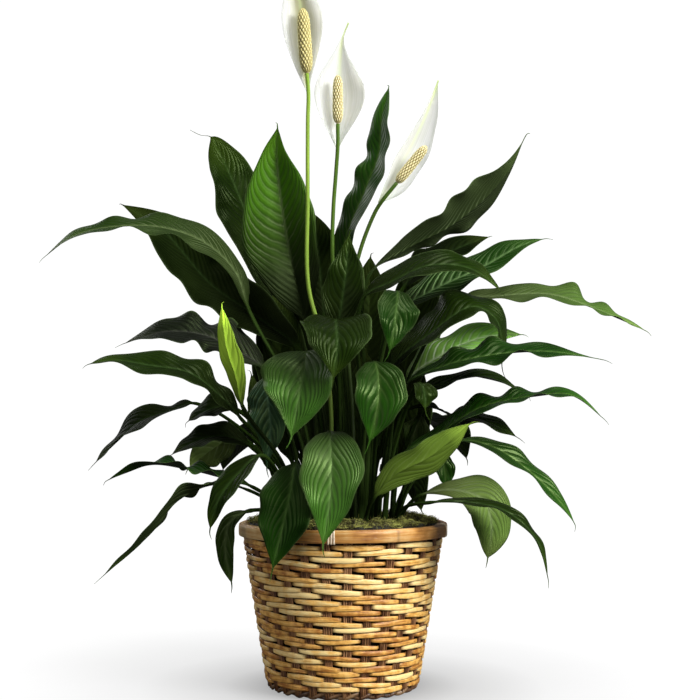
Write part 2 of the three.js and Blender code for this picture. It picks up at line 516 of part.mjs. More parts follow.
// A stalk of six sides that flattens into the blade, folded up a little along its midrib.
function leaf(spec, index) {
  const sharesStem = LEAVES.findIndex(({ shoot }) => shoot && shoot === spec.shoot);
  const branches = sharesStem >= 0 && sharesStem < index;
  const curve = midrib(spec);
  const lean = radians(spec.lean);
  const neckPart = partAt(curve, vec(...spec.neck));
  const stem = (radius) => HEXAGON.map(([across, half]) => [across * radius, 0, half * radius]);
  const base = vec(spec.root[0], spec.root[1], ROOT_Z);
  const upright = axesAcross(vec(0, 0, 1), lean, 0);
  const rows = [];
  if (!branches) rows.push(row(base, upright, stem(PETIOLE_RADIUS)));
  rows.push(row(curve.getPointAt(0), upright, stem(branches ? PETIOLE_RADIUS * 0.8 : PETIOLE_RADIUS)));
  for (let k = 1; k <= PETIOLE_STEPS; k++) {
    const part = (neckPart * k) / PETIOLE_STEPS;
    const axes = axesAcross(curve.getTangentAt(part), lean, radians(spec.roll[0]));
    rows.push(row(curve.getPointAt(part), axes, stem(PETIOLE_RADIUS)));
  }
  for (let k = 1; k <= BLADE_STEPS; k++) {
    const part = k / BLADE_STEPS;
    const along = mix(neckPart, 1, part);
    const roll = radians(mix(spec.roll[0], spec.roll[1], part));
    const axes = axesAcross(curve.getTangentAt(along), lean, roll);
    const share = outlineShare(part, spec.outline ?? LEAF_OUTLINE);
    const half = Math.max((spec.width / 2) * share, BLADE_THICKNESS * 0.6);
    const wave = EDGE_WAVE * half * Math.sin(2 * Math.PI * EDGE_WAVES * part + index);
    const up = (spec.fold ?? BLADE_FOLD) * half;
    const flat = mix(0.6, 1, smooth(part, 0, 0.3));
    const section = [[-half, up + wave], [0, 0], [half, up - wave]].map(([across, rise], j) =>
      [across, rise, mix(HEXAGON[j][1] * PETIOLE_RADIUS, BLADE_THICKNESS / 2, flat)]);
    rows.push(row(curve.getPointAt(along), axes, section));
  }
  return sheet(rows);
}

// ---------------------------------------------------------------- flower stalk, spadix and spathe

// The flower stalk's path out of the soil. Its last stretch runs in line with the spadix.
function stalkCurve({ root, route, spike }) {
  const [x, y] = root;
  const start = soilZ(Math.hypot(x, y)) + STEM_EMERGES;
  const [low, high] = spike.map((p) => vec(...p));
  const along = high.sub(low).normalize();
  const end = low.clone().addScaledVector(along, -SEAT_GAP);
  const before = low.clone().addScaledVector(along, -STALK_STRAIGHT);
  return curveThrough([vec(x, y, start), ...route.map((p) => vec(...p)), before, end]);
}

const stalkRadius = (part) => mix(STALK_RADIUS, STALK_TIP_RADIUS, part);

// The stalk stands straight in the soil and thins towards the spadix that sits on its end.
function stalk(bloom) {
  const [x, y] = bloom.root;
  const curve = stalkCurve(bloom);
  const hexagon = (radius) => HEXAGON.map(([across, half]) => [across * radius, 0, half * radius]);
  const upright = axesAcross(vec(0, 0, 1), BACK, 0);
  const rows = [row(vec(x, y, ROOT_Z), upright, hexagon(STALK_RADIUS))];
  for (let k = 0; k <= STALK_STEPS; k++) {
    const part = k / STALK_STEPS;
    const axes = k === 0 ? upright : axesAcross(curve.getTangentAt(part), BACK, 0);
    rows.push(row(curve.getPointAt(part), axes, hexagon(stalkRadius(part))));
  }
  return sheet(rows);
}

// The spadix: a blunt club whose flowers are a lattice of knobs, every other one standing out.
function spadix({ spike, spikeRadius }) {
  const [low, high] = spike.map((p) => vec(...p));
  const length = low.distanceTo(high);
  const rings = Array.from({ length: SPADIX_ROWS + 1 }, (_, k) => (i) => {
    const part = k / SPADIX_ROWS;
    const blunt = Math.sqrt(Math.max(1 - Math.abs(2 * part - 1) ** 5, SPADIX_END_SHARE));
    const knob = (i + k) % 2 === 0 ? 1 : 1 - SPADIX_RELIEF;
    return [spikeRadius * blunt * knob * mix(1, SPADIX_TAPER, part), part * length];
  });
  const geometry = ringBody(rings, SPADIX_SIDES, true);
  const turn = new THREE.Quaternion().setFromUnitVectors(vec(0, 0, 1), high.clone().sub(low).normalize());
  return geometry.applyQuaternion(turn).translate(low.x, low.y, low.z);
}

// The spathe: a hooded leaf that clasps the stalk from behind and curls its edges round the spadix.
function spathe(bloom) {
  const stem = stalkCurve(bloom);
  const claspPart = 1 - bloom.clasp / stem.getLength();
  const roll = radians(bloom.roll);
  const { face } = axesAcross(stem.getTangentAt(claspPart), BACK, roll);
  const behind = stalkRadius(claspPart) + CLASP_GAP + SPATHE_THICKNESS / 2;
  const base = stem.getPointAt(claspPart).addScaledVector(face, -behind);
  const curve = curveThrough([base, ...bloom.hood.map((p) => vec(...p))]);
  const rows = [];
  for (let k = 0; k <= SPATHE_STEPS; k++) {
    const part = k / SPATHE_STEPS;
    const axes = axesAcross(curve.getTangentAt(part), BACK, roll);
    const half = Math.max((bloom.width / 2) * outlineShare(part, bloom.outline), SPATHE_END_HALF_WIDTH);
    rows.push(row(curve.getPointAt(part), axes, SPATHE_COLUMNS.map((column) => [
      column * half * (1 - SPATHE_DRAW_IN * bloom.cup * column ** 2),
      SPATHE_CURL * bloom.cup * half * column ** 2,
      SPATHE_THICKNESS / 2,
    ])));
  }
  return sheet(rows);
}

// ---------------------------------------------------------------- the plant in its basket

const looks = {
  leaf: material(LEAF_GREEN, 0.4),
  spathe: material(0xf3f3e6, 0.55),
  spadix: material(0xe6d99a, 0.7),
  stalk: material(0x7fae3f, 0.5),
  cane: material(0xd9a95f, 0.55),
  band: material(0xd8934f, 0.5),
  rope: material(0x5b3a22, 0.7),
  plastic: material(0x23301f, 0.45),
  soil: material(0x3a2a1c, 0.95),
  moss: material(0x9a8a3c, 0.95),
};

const lily = new THREE.Group();
lily.add(
  mesh('basket_weave', basketBody(), looks.cane),
  mesh('basket_rim', rimHoops(), looks.band),
  mesh('basket_foot', footRing(), looks.rope),
  mesh('liner', liner(), looks.plastic),
  mesh('soil', soil(), looks.soil),
  mesh('moss', moss(), looks.moss),
);

// Leaves of one shoot are joined where their stalks meet in the sheath.
const shoots = new Map();
LEAVES.forEach((spec, index) => {
  const name = spec.shoot ? `shoot_${spec.shoot}` : spec.name;
  const look = spec.colour ? material(spec.colour, 0.4) : looks.leaf;
  const geometry = leaf(spec, index);
  if (!spec.shoot) {
    lily.add(mesh(name, geometry, look));
    return;
  }
  const body = solidOf(geometry);
  shoots.set(name, shoots.has(name) ? shoots.get(name).add(body) : body);
});
for (const [name, body] of shoots) lily.add(mesh(name, geometryFrom(body), looks.leaf));

for (const bloom of BLOOMS) {
  lily.add(
    mesh(`stalk_${bloom.name}`, stalk(bloom), looks.stalk),
    mesh(`spathe_${bloom.name}`, spathe(bloom), looks.spathe),
    mesh(`spadix_${bloom.name}`, spadix(bloom), looks.spadix),
  );
}

export default lily;
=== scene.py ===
# %% [markdown]
# # A peace lily in a wicker basket
#
# This lesson dresses a potted peace lily. The construction model already says where every leaf, stalk
# and bloom stands and how big it is. Here each of them gets the finer surface and the finish that the
# real plant has: veins, folds, thin waved edges, knobs on the spadix, split cane in the basket. The
# first step loads the construction model and keeps its parts.

# %% Load the frame
import math

import bpy
import numpy as np
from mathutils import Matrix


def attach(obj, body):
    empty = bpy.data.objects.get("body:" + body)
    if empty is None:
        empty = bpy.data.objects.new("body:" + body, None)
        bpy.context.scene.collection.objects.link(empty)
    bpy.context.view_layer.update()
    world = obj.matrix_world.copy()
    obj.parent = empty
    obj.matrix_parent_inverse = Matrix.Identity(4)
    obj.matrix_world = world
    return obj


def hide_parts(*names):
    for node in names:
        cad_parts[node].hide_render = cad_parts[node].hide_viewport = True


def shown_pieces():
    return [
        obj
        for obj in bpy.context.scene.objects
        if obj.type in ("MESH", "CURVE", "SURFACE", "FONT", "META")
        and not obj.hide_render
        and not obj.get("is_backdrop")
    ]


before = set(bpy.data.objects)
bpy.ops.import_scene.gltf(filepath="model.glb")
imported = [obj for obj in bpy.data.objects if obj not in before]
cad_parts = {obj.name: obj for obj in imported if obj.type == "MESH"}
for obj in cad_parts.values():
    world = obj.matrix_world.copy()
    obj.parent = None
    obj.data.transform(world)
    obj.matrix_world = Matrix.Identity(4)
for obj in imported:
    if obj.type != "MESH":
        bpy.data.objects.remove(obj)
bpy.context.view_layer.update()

MM = 0.001
TURN = 2 * np.pi
SEED = 11
scatter = np.random.default_rng(SEED)
print(len(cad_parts), "nodes in the frame")

# %% [markdown]
# ## Nodes in few words
#
# A material is a small graph. These helpers add a node and wire it in one line, and let a node's
# output be added and multiplied like a number, so that each finish below reads as what it is: a noise
# stretched along the grain, a ramp of colours, a bump.

# %% Material helpers
class Value:
    """A node's output that can be reckoned with: every step adds one Math node."""

    def __init__(self, socket):
        self.socket = socket

    def step(self, operation, *others):
        return wire(self.socket.id_data, "Math", dict(enumerate((self, *others))), operation=operation)

    def __add__(self, other):
        return self.step("ADD", other)

    def __mul__(self, other):
        return self.step("MULTIPLY", other)

    def __pow__(self, other):
        return self.step("POWER", other)

    def __sub__(self, other):
        return self.step("SUBTRACT", other)

    def __rsub__(self, other):
        return self * -1 + other

    __radd__, __rmul__ = __add__, __mul__


def add(tree, kind, sockets, **settings):
    """Adds a node. Each socket is given a number, a colour or the value that feeds it."""
    made = tree.nodes.new("ShaderNode" + kind)
    for key, value in settings.items():
        setattr(made, key, value)
    for key, value in sockets.items():
        socket = made.inputs[key]
        if isinstance(value, Value):
            tree.links.new(value.socket, socket)
        else:
            socket.default_value = (*value, 1) if socket.type == "RGBA" else value
    return made


def wire(tree, kind, sockets, output=0, **settings):
    """Adds a node and gives one of its outputs."""
    return Value(add(tree, kind, sockets, **settings).outputs[output])


def field(tree, name):
    """A field that the mesh carries, by its name."""
    return wire(tree, "Attribute", {}, "Fac", attribute_name=name)


def span(value, low, high, start=0.0, end=1.0):
    """Goes from `start` to `end` while the value goes from `low` to `high`."""
    return wire(value.socket.id_data, "MapRange", {0: value, 1: low, 2: high, 3: start, 4: end})


def grain(tree, scale, detail=3.0, stretch=(1, 1, 1), source="Object"):
    """Noise from 0 to 1, with its cells made longer where `stretch` is under 1."""
    stretched = wire(tree, "Mapping", {"Vector": wire(tree, "TexCoord", {}, source), "Scale": stretch})
    sockets = {"Vector": stretched, "Scale": scale, "Detail": detail, "Roughness": 0.55}
    return wire(tree, "TexNoise", sockets, "Fac")


def ramp(tree, factor, *stops):
    """Colours by a factor: each stop is a place and a colour, in linear light."""
    made = add(tree, "ValToRGB", {"Fac": factor})
    band = made.color_ramp.elements
    while len(band) < len(stops):
        band.new(0.5)
    for element, (place, colour) in zip(band, stops):
        element.position, element.color = place, (*colour, 1)
    return Value(made.outputs["Color"])


MIX_FACTOR, MIX_A, MIX_B, MIX_RESULT = 0, 6, 7, 2  # the Mix node's sockets for colours


def mixed(tree, factor, a, b, blend="MIX"):
    """Two colours mixed by a factor."""
    sockets = {MIX_FACTOR: factor, MIX_A: a, MIX_B: b}
    return wire(tree, "Mix", sockets, MIX_RESULT, data_type="RGBA", blend_type=blend)


def dimmed(colour, share):
    """A colour with each of its parts scaled."""
    return tuple(share * part for part in colour)


def relief(tree, height, depth, strength=1.0):
    """A bump of `depth` metres where the height goes from 0 to 1."""
    return wire(tree, "Bump", {"Height": height, "Distance": depth, "Strength": strength})


def finish(name, recipe, *settings, **uniform):
    """A material: the recipe wires what varies, and `uniform` sets the shader's own sockets."""
    made = bpy.data.materials.new(name)
    made.use_nodes = True
    tree = made.node_tree
    shader = tree.nodes["Principled BSDF"]
    for key, value in recipe(tree, *settings).items():
        tree.links.new(value.socket, shader.inputs[key])
    for key, value in uniform.items():
        shader.inputs[key.replace("_", " ")].default_value = value
    return made


print("node helpers ready")

# %% [markdown]
# ## Camera, light and floor
#
# A plant photographed on white stands in a soft, bright room: most light comes down from the front
# right, and the white walls fill the shadows. A large panel does the first. Weaker ones above, on the
# left and behind do some of the second, and the world's even light stands for the walls. A picture of
# a studio wrapped round the scene could do all of it, but panels keep every light's place and strength
# in sight. The floor is plain and pale.

# %% Camera
def stand(name, data):
    """An object that shows the data, in the scene."""
    thing = bpy.data.objects.new(name, data)
    bpy.context.scene.collection.objects.link(thing)
    return thing


CAMERA_PLACE = (0.0077, -1.364, 0.285)
CAMERA_PITCH = 3.33
LENS = 63.7

camera = stand("camera", bpy.data.cameras.new("camera"))
camera.location = CAMERA_PLACE
camera.rotation_euler = (math.radians(90 + CAMERA_PITCH), 0, 0)
camera.data.lens = LENS
bpy.context.scene.camera = camera
print("camera at", CAMERA_PLACE, "with a", LENS, "mm lens")

# %% Lights
LIT_POINT = (0, 0, 0.35)
PANELS = dict(  # where each hangs, its side in metres and its watts
    key_light=((1.7, -1.35, 1.5), 1.0, 97), top_light=((0.2, -0.7, 2.3), 0.8, 22),
    fill_light=((-1.7, -1.5, 0.6), 1.4, 8), back_light=((-1.9, 1.9, 1.7), 1.4, 20))
WALLS_SEEN, WALLS_LIGHT = 1.05, 0.20

for name, (place, size, watts) in PANELS.items():
    light = bpy.data.lights.new(name, "AREA")
    light.size, light.energy = size, watts
    lamp = stand(name, light)
    lamp.location = place
    x, y, z = np.subtract(LIT_POINT, place)
    # A lamp shines straight down: tip it up towards the plant, then turn it about the vertical.
    lamp.rotation_euler = (math.atan2(math.hypot(x, y), -z), 0, math.atan2(-x, y))

world = bpy.data.worlds.new("white_room")
world.use_nodes = True
walls = world.node_tree.nodes["Background"]
seen = wire(world.node_tree, "LightPath", {}, "Is Camera Ray")
world.node_tree.links.new(span(seen, 0, 1, WALLS_LIGHT, WALLS_SEEN).socket, walls.inputs["Strength"])
walls.inputs["Color"].default_value = (1, 1, 1, 1)
bpy.context.scene.world = world
bpy.context.scene.view_settings.view_transform = "Standard"
print(len(PANELS), "panels and a white room at", WALLS_LIGHT)

# %% Floor
FLOOR_SIZE = 60.0
# How bright the floor looks at each distance out: the dimmer part close in is a painted shadow.
FLOOR_GLOW_AND_PAINTED_SHADE = ((0.08, 0.40), (0.13, 0.62), (0.22, 0.80), (0.42, 0.93), (0.75, 0.99))


def floor_look(tree):
    """White paper: to the eye alone it glows more the further out it lies, and so meets the wall unseen.

    Its dimmer brightness close to the middle is a painted shadow round the basket's foot.
    """
    place = wire(tree, "TexCoord", {}, "Object")
    away = wire(tree, "VectorMath", {0: place}, "Value", operation="LENGTH")
    glow_and_painted_shade = ramp(tree, away, *((far, (level,) * 3) for far, level in FLOOR_GLOW_AND_PAINTED_SHADE))
    return {
        "Base Color": ramp(tree, grain(tree, 3.0, 2.0), (0.3, (0.06,) * 3), (0.7, (0.07,) * 3)),
        "Emission Strength": glow_and_painted_shade * wire(tree, "LightPath", {}, "Is Camera Ray")}


half = FLOOR_SIZE / 2
floor_mesh = bpy.data.meshes.new("floor")
floor_corners = [(-half, -half, 0), (half, -half, 0), (half, half, 0), (-half, half, 0)]
floor_mesh.from_pydata(floor_corners, [], [(0, 1, 2, 3)])
floor_mesh.materials.append(finish("floor_white", floor_look, Roughness=0.9, Emission_Color=(1, 1, 1, 1)))
floor = stand("floor", floor_mesh)
floor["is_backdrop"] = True
print("floor", FLOOR_SIZE, "m across")

# %% [markdown]
# ## Making surfaces from arrays
#
# Every piece here is a grid of points worked out at once as a numpy array: rows run along the piece
# and columns across or round it. One helper numbers the grid's faces, one closes its ends and turns
# its faces outwards, and one puts the arrays into a mesh. Values that a material needs, such as how
# far along a leaf a point lies, travel with the points as fields.

# %% Circles
def circle(count):
    """Angles evenly round a full turn."""
    return np.linspace(0, TURN, count, endpoint=False)


def around(out, turn, z, beside=0.0):
    """Points at `out` from the upright axis and height z, after the turn, moved `beside` round it."""
    x = out * np.cos(turn) - beside * np.sin(turn)
    y = out * np.sin(turn) + beside * np.cos(turn)
    return np.stack(np.broadcast_arrays(x, y, z), axis=-1)


def rounded(a, power):
    """How far a rounded square reaches in the direction a: |x|ᵏ + |z|ᵏ = 1."""
    return (np.abs(np.cos(a)) ** power + np.abs(np.sin(a)) ** power) ** (-1 / power)


# %% Grids, tubes and rings
def grid_quads(rows, columns, rows_close=False):
    """Faces of a grid whose columns close on themselves; `rows_close` joins the last row to the first."""
    i = np.arange(rows if rows_close else rows - 1)[:, None] * columns
    above = (i + columns) % (rows * columns)
    j = np.arange(columns)
    beside = (j + 1) % columns
    return np.stack([i + j, i + beside, above + beside, above + j], axis=-1).reshape(-1, 4)


def outwards(points, quads, triangles):
    """Turns a closed shell's faces out: the sum of corner a · (b × c) over its faces is its volume."""
    halves = np.vstack([quads[:, [0, 1, 2]], quads[:, [0, 2, 3]], triangles])
    a, b, c = (points[halves[:, k]] for k in range(3))
    if (a * np.cross(b, c)).sum() < 0:
        return quads[:, ::-1], triangles[:, ::-1]
    return quads, triangles


def ring(grid, **fields):
    """A closed shape whose rows and columns both run round, such as a hoop."""
    rows, columns = grid.shape[:2]
    points, no_triangles = grid.reshape(-1, 3), np.zeros((0, 3), int)
    quads, triangles = outwards(points, grid_quads(rows, columns, True), no_triangles)
    flat = {key: np.broadcast_to(value, (rows, columns)).ravel() for key, value in fields.items()}
    return points, quads, triangles, flat


def tube(grid, **fields):
    """A shape whose columns run round it, closed at both ends by a fan of triangles."""
    rows, columns = grid.shape[:2]
    points = np.vstack([grid.reshape(-1, 3), grid[0].mean(0), grid[-1].mean(0)])
    j = np.arange(columns)
    beside = (j + 1) % columns
    first, last, end = rows * columns, rows * columns + 1, (rows - 1) * columns
    triangles = np.vstack([
        np.stack([np.full(columns, first), beside, j], axis=1),
        np.stack([np.full(columns, last), end + j, end + beside], axis=1)])
    quads, triangles = outwards(points, grid_quads(rows, columns), triangles)
    flat = {}
    for key, value in fields.items():
        value = np.broadcast_to(value, (rows, columns))
        flat[key] = np.concatenate([value.ravel(), [value[0].mean(), value[-1].mean()]])
    return points, quads, triangles, flat


def join(shapes):
    """Several shapes as one. They all carry the same fields."""
    counts = np.cumsum([0] + [len(shape[0]) for shape in shapes])
    points, quads, triangles = (
        np.vstack([shape[k] + (start if k else 0) for shape, start in zip(shapes, counts)])
        for k in range(3))
    fields = {key: np.concatenate([shape[3][key] for shape in shapes]) for key in shapes[0][3]}
    return points, quads, triangles, fields


# %% Putting arrays into a mesh
def put_piece(name, shape, finish, slot, *nodes):
    """Makes a piece of a shape, whose `u` and `v` fields become its UV map, and ties it to the frame."""
    points, quads, triangles, fields = shape
    corners = np.concatenate([quads.ravel(), triangles.ravel()]).astype(np.int32)
    starts = np.concatenate([
        np.arange(len(quads)) * 4, len(quads) * 4 + np.arange(len(triangles)) * 3]).astype(np.int32)
    mesh = bpy.data.meshes.new(name)
    mesh.vertices.add(len(points))
    mesh.vertices.foreach_set("co", points.astype(np.float32).ravel())
    mesh.loops.add(len(corners))
    mesh.loops.foreach_set("vertex_index", corners)
    mesh.polygons.add(len(starts))
    mesh.polygons.foreach_set("loop_start", starts)
    mesh.update(calc_edges=True)
    mesh.shade_smooth()
    for key, value in fields.items():
        if key not in "uv":
            made = mesh.attributes.new(key, "FLOAT", "POINT")
            made.data.foreach_set("value", value.astype(np.float32))
    if "u" in fields:
        chart = np.stack([fields["u"][corners], fields["v"][corners]], axis=1)
        mesh.uv_layers.new(name="chart").data.foreach_set("uv", chart.astype(np.float32).ravel())
    mesh.materials.append(finish)
    piece = stand(name, mesh)
    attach(piece, "root")
    if nodes:
        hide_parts(*nodes)
    print(name, "has", len(points), "points")


# %% Smooth paths
def unit(vectors):
    """Vectors of length one."""
    return vectors / np.linalg.norm(vectors, axis=-1, keepdims=True)


def smoothstep(x, low=0.0, high=1.0):
    """Rises from 0 at `low` to 1 at `high` as 3t² - 2t³."""
    t = np.clip((x - low) / (high - low), 0, 1)
    return t * t * (3 - 2 * t)


def smooth_path(knots, steps=40):
    """A centripetal Catmull-Rom curve through the knots, in metres.

    Between two knots it is a cubic whose end slopes weigh the chords on both sides by the square root
    of their lengths. Gives the points, the length up to each, and each knot's share of the length.
    """
    knots = np.asarray(knots, float) * MM
    ends = np.vstack([2 * knots[0] - knots[1], knots, 2 * knots[-1] - knots[-2]])
    gaps = np.linalg.norm(np.diff(ends, axis=0), axis=1)[:, None] ** 0.5
    a, b, c, d = ends[:-3], ends[1:-2], ends[2:-1], ends[3:]
    before, here, after = gaps[:-2], gaps[1:-1], gaps[2:]
    leave = ((b - a) / before - (c - a) / (before + here) + (c - b) / here) * here
    arrive = ((c - b) / here - (d - b) / (here + after) + (d - c) / after) * here
    t = np.linspace(0, 1, steps, endpoint=False)[None, :, None]
    b, c, leave, arrive = (part[:, None, :] for part in (b, c, leave, arrive))
    square, cube = 3 * (c - b) - 2 * leave - arrive, 2 * (b - c) + leave + arrive
    points = np.vstack([(b + leave * t + square * t**2 + cube * t**3).reshape(-1, 3), knots[-1]])
    length = np.concatenate([[0], np.cumsum(np.linalg.norm(np.diff(points, axis=0), axis=1))])
    return points, length, length[::steps] / length[-1]


def along(path, parts):
    """Points and directions of a path at parts of its length."""
    points, length, _ = path
    places, ways = (
        np.stack([np.interp(parts * length[-1], length, values[:, k]) for k in range(3)], axis=1)
        for values in (points, np.gradient(points, length, axis=0)))
    return places, unit(ways)


def axes_across(ways, lean, roll):
    """The two axes across a strip that heads along `ways`: level across the lean, then turned by roll."""
    side = np.array([-math.sin(lean), math.cos(lean), 0.0])
    side = unit(side - (ways @ side)[:, None] * ways)
    face = np.cross(ways, side)
    cos, sin = np.cos(roll)[:, None], np.sin(roll)[:, None]
    return side * cos + face * sin, face * cos - side * sin


def carried(places, side, face, across, up):
    """A grid whose row i lies `across` and `up` from place i, along the two axes of its own."""
    return places[:, None] + side[:, None] * across[..., None] + face[:, None] * up[..., None]


def two_faces(columns):
    """Places from -1 to 1 over an upper face and back over the lower one, and 1 where it is lower."""
    t = np.linspace(-1, 1, columns)
    return np.concatenate([t, t[::-1]]), np.repeat([0.0, 1.0], columns)


print("path helpers ready")

# %% [markdown]
# ## The woven wall
#
# The basket is woven in a spiral: one flat strand of split cane climbs round 29 stakes, over two and
# under one. Because 29 is not a multiple of three, each round meets the stakes one place further
# along, which gives the slanting steps of the weave. A stake is a bundle of thin round reeds, and it
# shows only where the strand dips behind it. The strand could be modelled one float at a time, but a
# single formula along the spiral keeps over and under in step all the way up: the distance to the
# nearest dip sets how far in the strand lies, how narrow it is and how dark its end looks.

# %% Sizes of the basket
HEIGHT, RIM_RADIUS, BASE_RADIUS = 0.175, 0.114, 0.0825
RIM_HEIGHT, RIM_THICKNESS, FOOT_HEIGHT, DISC_RADIUS = 0.012, 0.0022, 0.010, 0.074
STAKES, ROUNDS, UNDER_EVERY, REEDS = 29, 27, 3, 4
STRAND_THICKNESS, STRAND_INSET, REED_RADIUS = 0.0013, 0.0005, 0.00105
REED_DEPTH, REED_GAP, DIP_DEPTH = 0.0026, 2.15, 0.0042
FLOAT_SLANT, FLOAT_LIFT, FLOAT_BOW, REED_SWAY = 0.0030, 0.0014, 0.0005, 0.0004
FLOAT_END, FLOAT_MIDDLE = 0.46, 0.54  # how tall a float is at a dip, and how much more between two
FLOAT_HALF_WIDTH, FLOAT_WIDTH_VARIES = 0.44, 0.16  # in pitches
WANDERS = ((0.0007, 3, 0.4), (0.0005, 7, -0.9))  # each: how far, waves in a round, drift up the wall
PITCH = (HEIGHT - RIM_HEIGHT - FOOT_HEIGHT) / ROUNDS


def wall_radius(z):
    """The wall's outside, a straight taper from base to rim."""
    return BASE_RADIUS + (RIM_RADIUS - RIM_THICKNESS - BASE_RADIUS) * z / HEIGHT


print("rounds of", round(PITCH / MM, 1), "mm")


# %% The strand
def spiral_strand(steps_per_stake=9, sides=8):
    """The weaving strand as a tube with a flat section.

    Stake number n = 0, 1, 2 ... along the spiral, which climbs one pitch in 29 stakes and turns
    clockwise. With d the distance in stakes to the nearest dip, the depth is 1 - smoothstep(d). A
    float is a lens, as high as sin(pi q)^k of the way q from dip to dip, and has its own tone, width,
    lift and slant. The rounds wander together by slow sines.
    """
    n = np.arange(STAKES * ROUNDS * steps_per_stake + 1)[:, None] / steps_per_stake
    phase = n / UNDER_EVERY
    dip = np.abs(phase - np.round(phase)) * UNDER_EVERY
    float_number = np.floor(phase).astype(int)
    floats = float_number.max() + 1
    tone, lift, width, reach, tilt = (scatter.random(floats)[float_number] for _ in range(5))
    from_dip = phase - float_number
    depth = 1 - smoothstep(dip, 0.04 + 0.10 * reach, 0.32 + 0.22 * reach)
    slant = (tilt - 0.3) * FLOAT_SLANT * (from_dip - 0.5)
    turn = -TURN * n / STAKES
    wander = sum(far * np.sin(waves * turn + drift * n / STAKES) for far, waves, drift in WANDERS)
    z = FOOT_HEIGHT + PITCH * (n / STAKES - 0.1) + (lift - 0.5) * FLOAT_LIFT * (1 - depth) + slant + wander
    bow = FLOAT_BOW * np.sin(np.pi * np.clip((dip - 0.5) / 1.0, 0, 1))
    radius = wall_radius(z) - STRAND_THICKNESS / 2 - DIP_DEPTH * depth - STRAND_INSET + bow
    lens = FLOAT_END + FLOAT_MIDDLE * np.sin(np.pi * from_dip) ** (0.4 + 0.5 * reach)
    tall = PITCH * (FLOAT_HALF_WIDTH + FLOAT_WIDTH_VARIES * width) * lens
    section = circle(sides)
    across, up = np.cos(section), np.sin(section)
    out = radius + STRAND_THICKNESS / 2 * across * np.sqrt(1 - 0.45 * np.abs(up))
    grid = around(out, turn, z + tall * np.sign(up) * np.abs(up) ** 0.75)
    grid = np.clip(grid, (-1, -1, 0.001), (1, 1, HEIGHT - 0.003))
    return tube(grid, u=wall_radius(z) * np.abs(turn), v=0.5 + 0.5 * up, tone=tone, tuck=depth, border=up)


def stakes(sides=6, rows=24):
    """Upright reeds, four to a stake, side by side just behind the floats."""
    z = np.linspace(0.002, HEIGHT - 0.004, rows)[:, None]
    a = circle(sides)
    shapes = []
    out = wall_radius(z) - REED_DEPTH + REED_RADIUS * np.cos(a)
    for stake in range(STAKES):
        for reed in range(REEDS):
            offset = (reed - (REEDS - 1) / 2) * REED_GAP * REED_RADIUS
            sway = REED_SWAY * np.sin(z * 90 + stake * 2.1 + reed)
            grid = around(out, -TURN * stake / STAKES, z, offset + sway + REED_RADIUS * np.sin(a))
            shapes.append(tube(grid, u=z, v=a / TURN, tone=scatter.random(), tuck=0.0, border=0.0))
    return join(shapes)


# %% Cane finishes
def cane(tree, dark, mid, light, painted_dip_shade):
    """Split cane: a tone of its own for every float and streaks along the grain.

    Painted shade darkens it where it dips behind a stake and along its edges.
    """
    streaks = grain(tree, 1.0, 5.0, stretch=(45, 5, 1), source="UV")
    tuck, side = field(tree, "tuck"), field(tree, "border").step("ABSOLUTE") ** 5
    shade = 0.60 * grain(tree, 110.0, 4.0) + (0.40 * field(tree, "tone") + 0.60 * streaks)
    colour = ramp(tree, shade, (0.58, dark), (0.76, mid), (0.98, light))
    # Painted shade: darker where the strand dips behind a stake, darkest in the dip and along its edges.
    colour = mixed(tree, 0.62 * tuck**0.45, colour, dimmed(dark, 0.6))
    deep = (0.75 * side).step("MAXIMUM", tuck)
    return {
        "Base Color": mixed(tree, 0.92 * deep, colour, painted_dip_shade),
        "Roughness": 0.25 * streaks + 0.26, "Normal": relief(tree, streaks, 0.0008, 0.8)}


# Each cane's last colour is its painted shade, where it dips and along its edges.
strand_cane = finish(
    "golden_cane", cane, (0.40, 0.148, 0.022), (0.84, 0.46, 0.100), (0.98, 0.73, 0.31),
    (0.12, 0.045, 0.012), Specular_IOR_Level=0.5)
reed_cane = finish(
    "stake_reed", cane, (0.09, 0.034, 0.012), (0.22, 0.095, 0.034), (0.38, 0.19, 0.08), (0.10, 0.04, 0.016))

put_piece("basket_strand", spiral_strand(), strand_cane, "cane", "basket_weave")
put_piece("basket_stakes", stakes(), reed_cane, "cane")
print("strand over", UNDER_EVERY - 1, "under 1, round", STAKES, "stakes")


# %% Woven base
def base_disc(rounds=14, columns=174):
    """The disc under the basket: rounds of cane over and under spokes, pressed flat at z = 0.

    Its lower face rises by cos² of the way across a round times sin² of the way between two spokes,
    and the next round starts half a step further on.
    """
    turn = circle(columns)
    out = np.linspace(0.002, DISC_RADIUS, rounds * 6)[:, None]
    lane = out / DISC_RADIUS * rounds
    over = np.where(np.floor(lane + 0.5) % 2 == 0, 0.0, 0.5)
    weave = np.cos(np.pi * lane) ** 2 * 0.0010
    weave = weave * (0.35 + 0.65 * np.sin(np.pi * (STAKES * turn / TURN + over)) ** 2)
    away = np.concatenate([out, out[::-1]])
    grid = np.concatenate([around(out, turn, 0.0013 - weave), around(out[::-1], turn, FOOT_HEIGHT)])
    tone = 0.25 + 0.2 * np.sin(turn * 3 + away * 300)
    # tuck darkens the whole disc a little with the cane's painted shade.
    return tube(grid, u=away * turn, v=away / PITCH, tone=tone, tuck=0.25, border=0.0)


put_piece("basket_base", base_disc(), strand_cane, "cane")

# %% [markdown]
# ## Rim and foot
#
# Two flat hoops of split bamboo clamp the top of the wall, one outside and one inside, with a broad
# cane laid over the edge between them. The outer hoop's ends meet in a seam, and thin strips of peeled
# cane bind the three together. Round the bottom edge runs a dark rope of two canes laid round each
# other. Bevelled curves could make them, but as closed rings of points, a section carried round a
# circle, they can also ripple, close up at the seam and carry their own fields.

# %% Hoops
SEAM_WIDTH, SEAM_DEPTH = 0.0008, 0.0007
FRONT = 1.5 * np.pi
RIM_SEAM = FRONT + 0.53


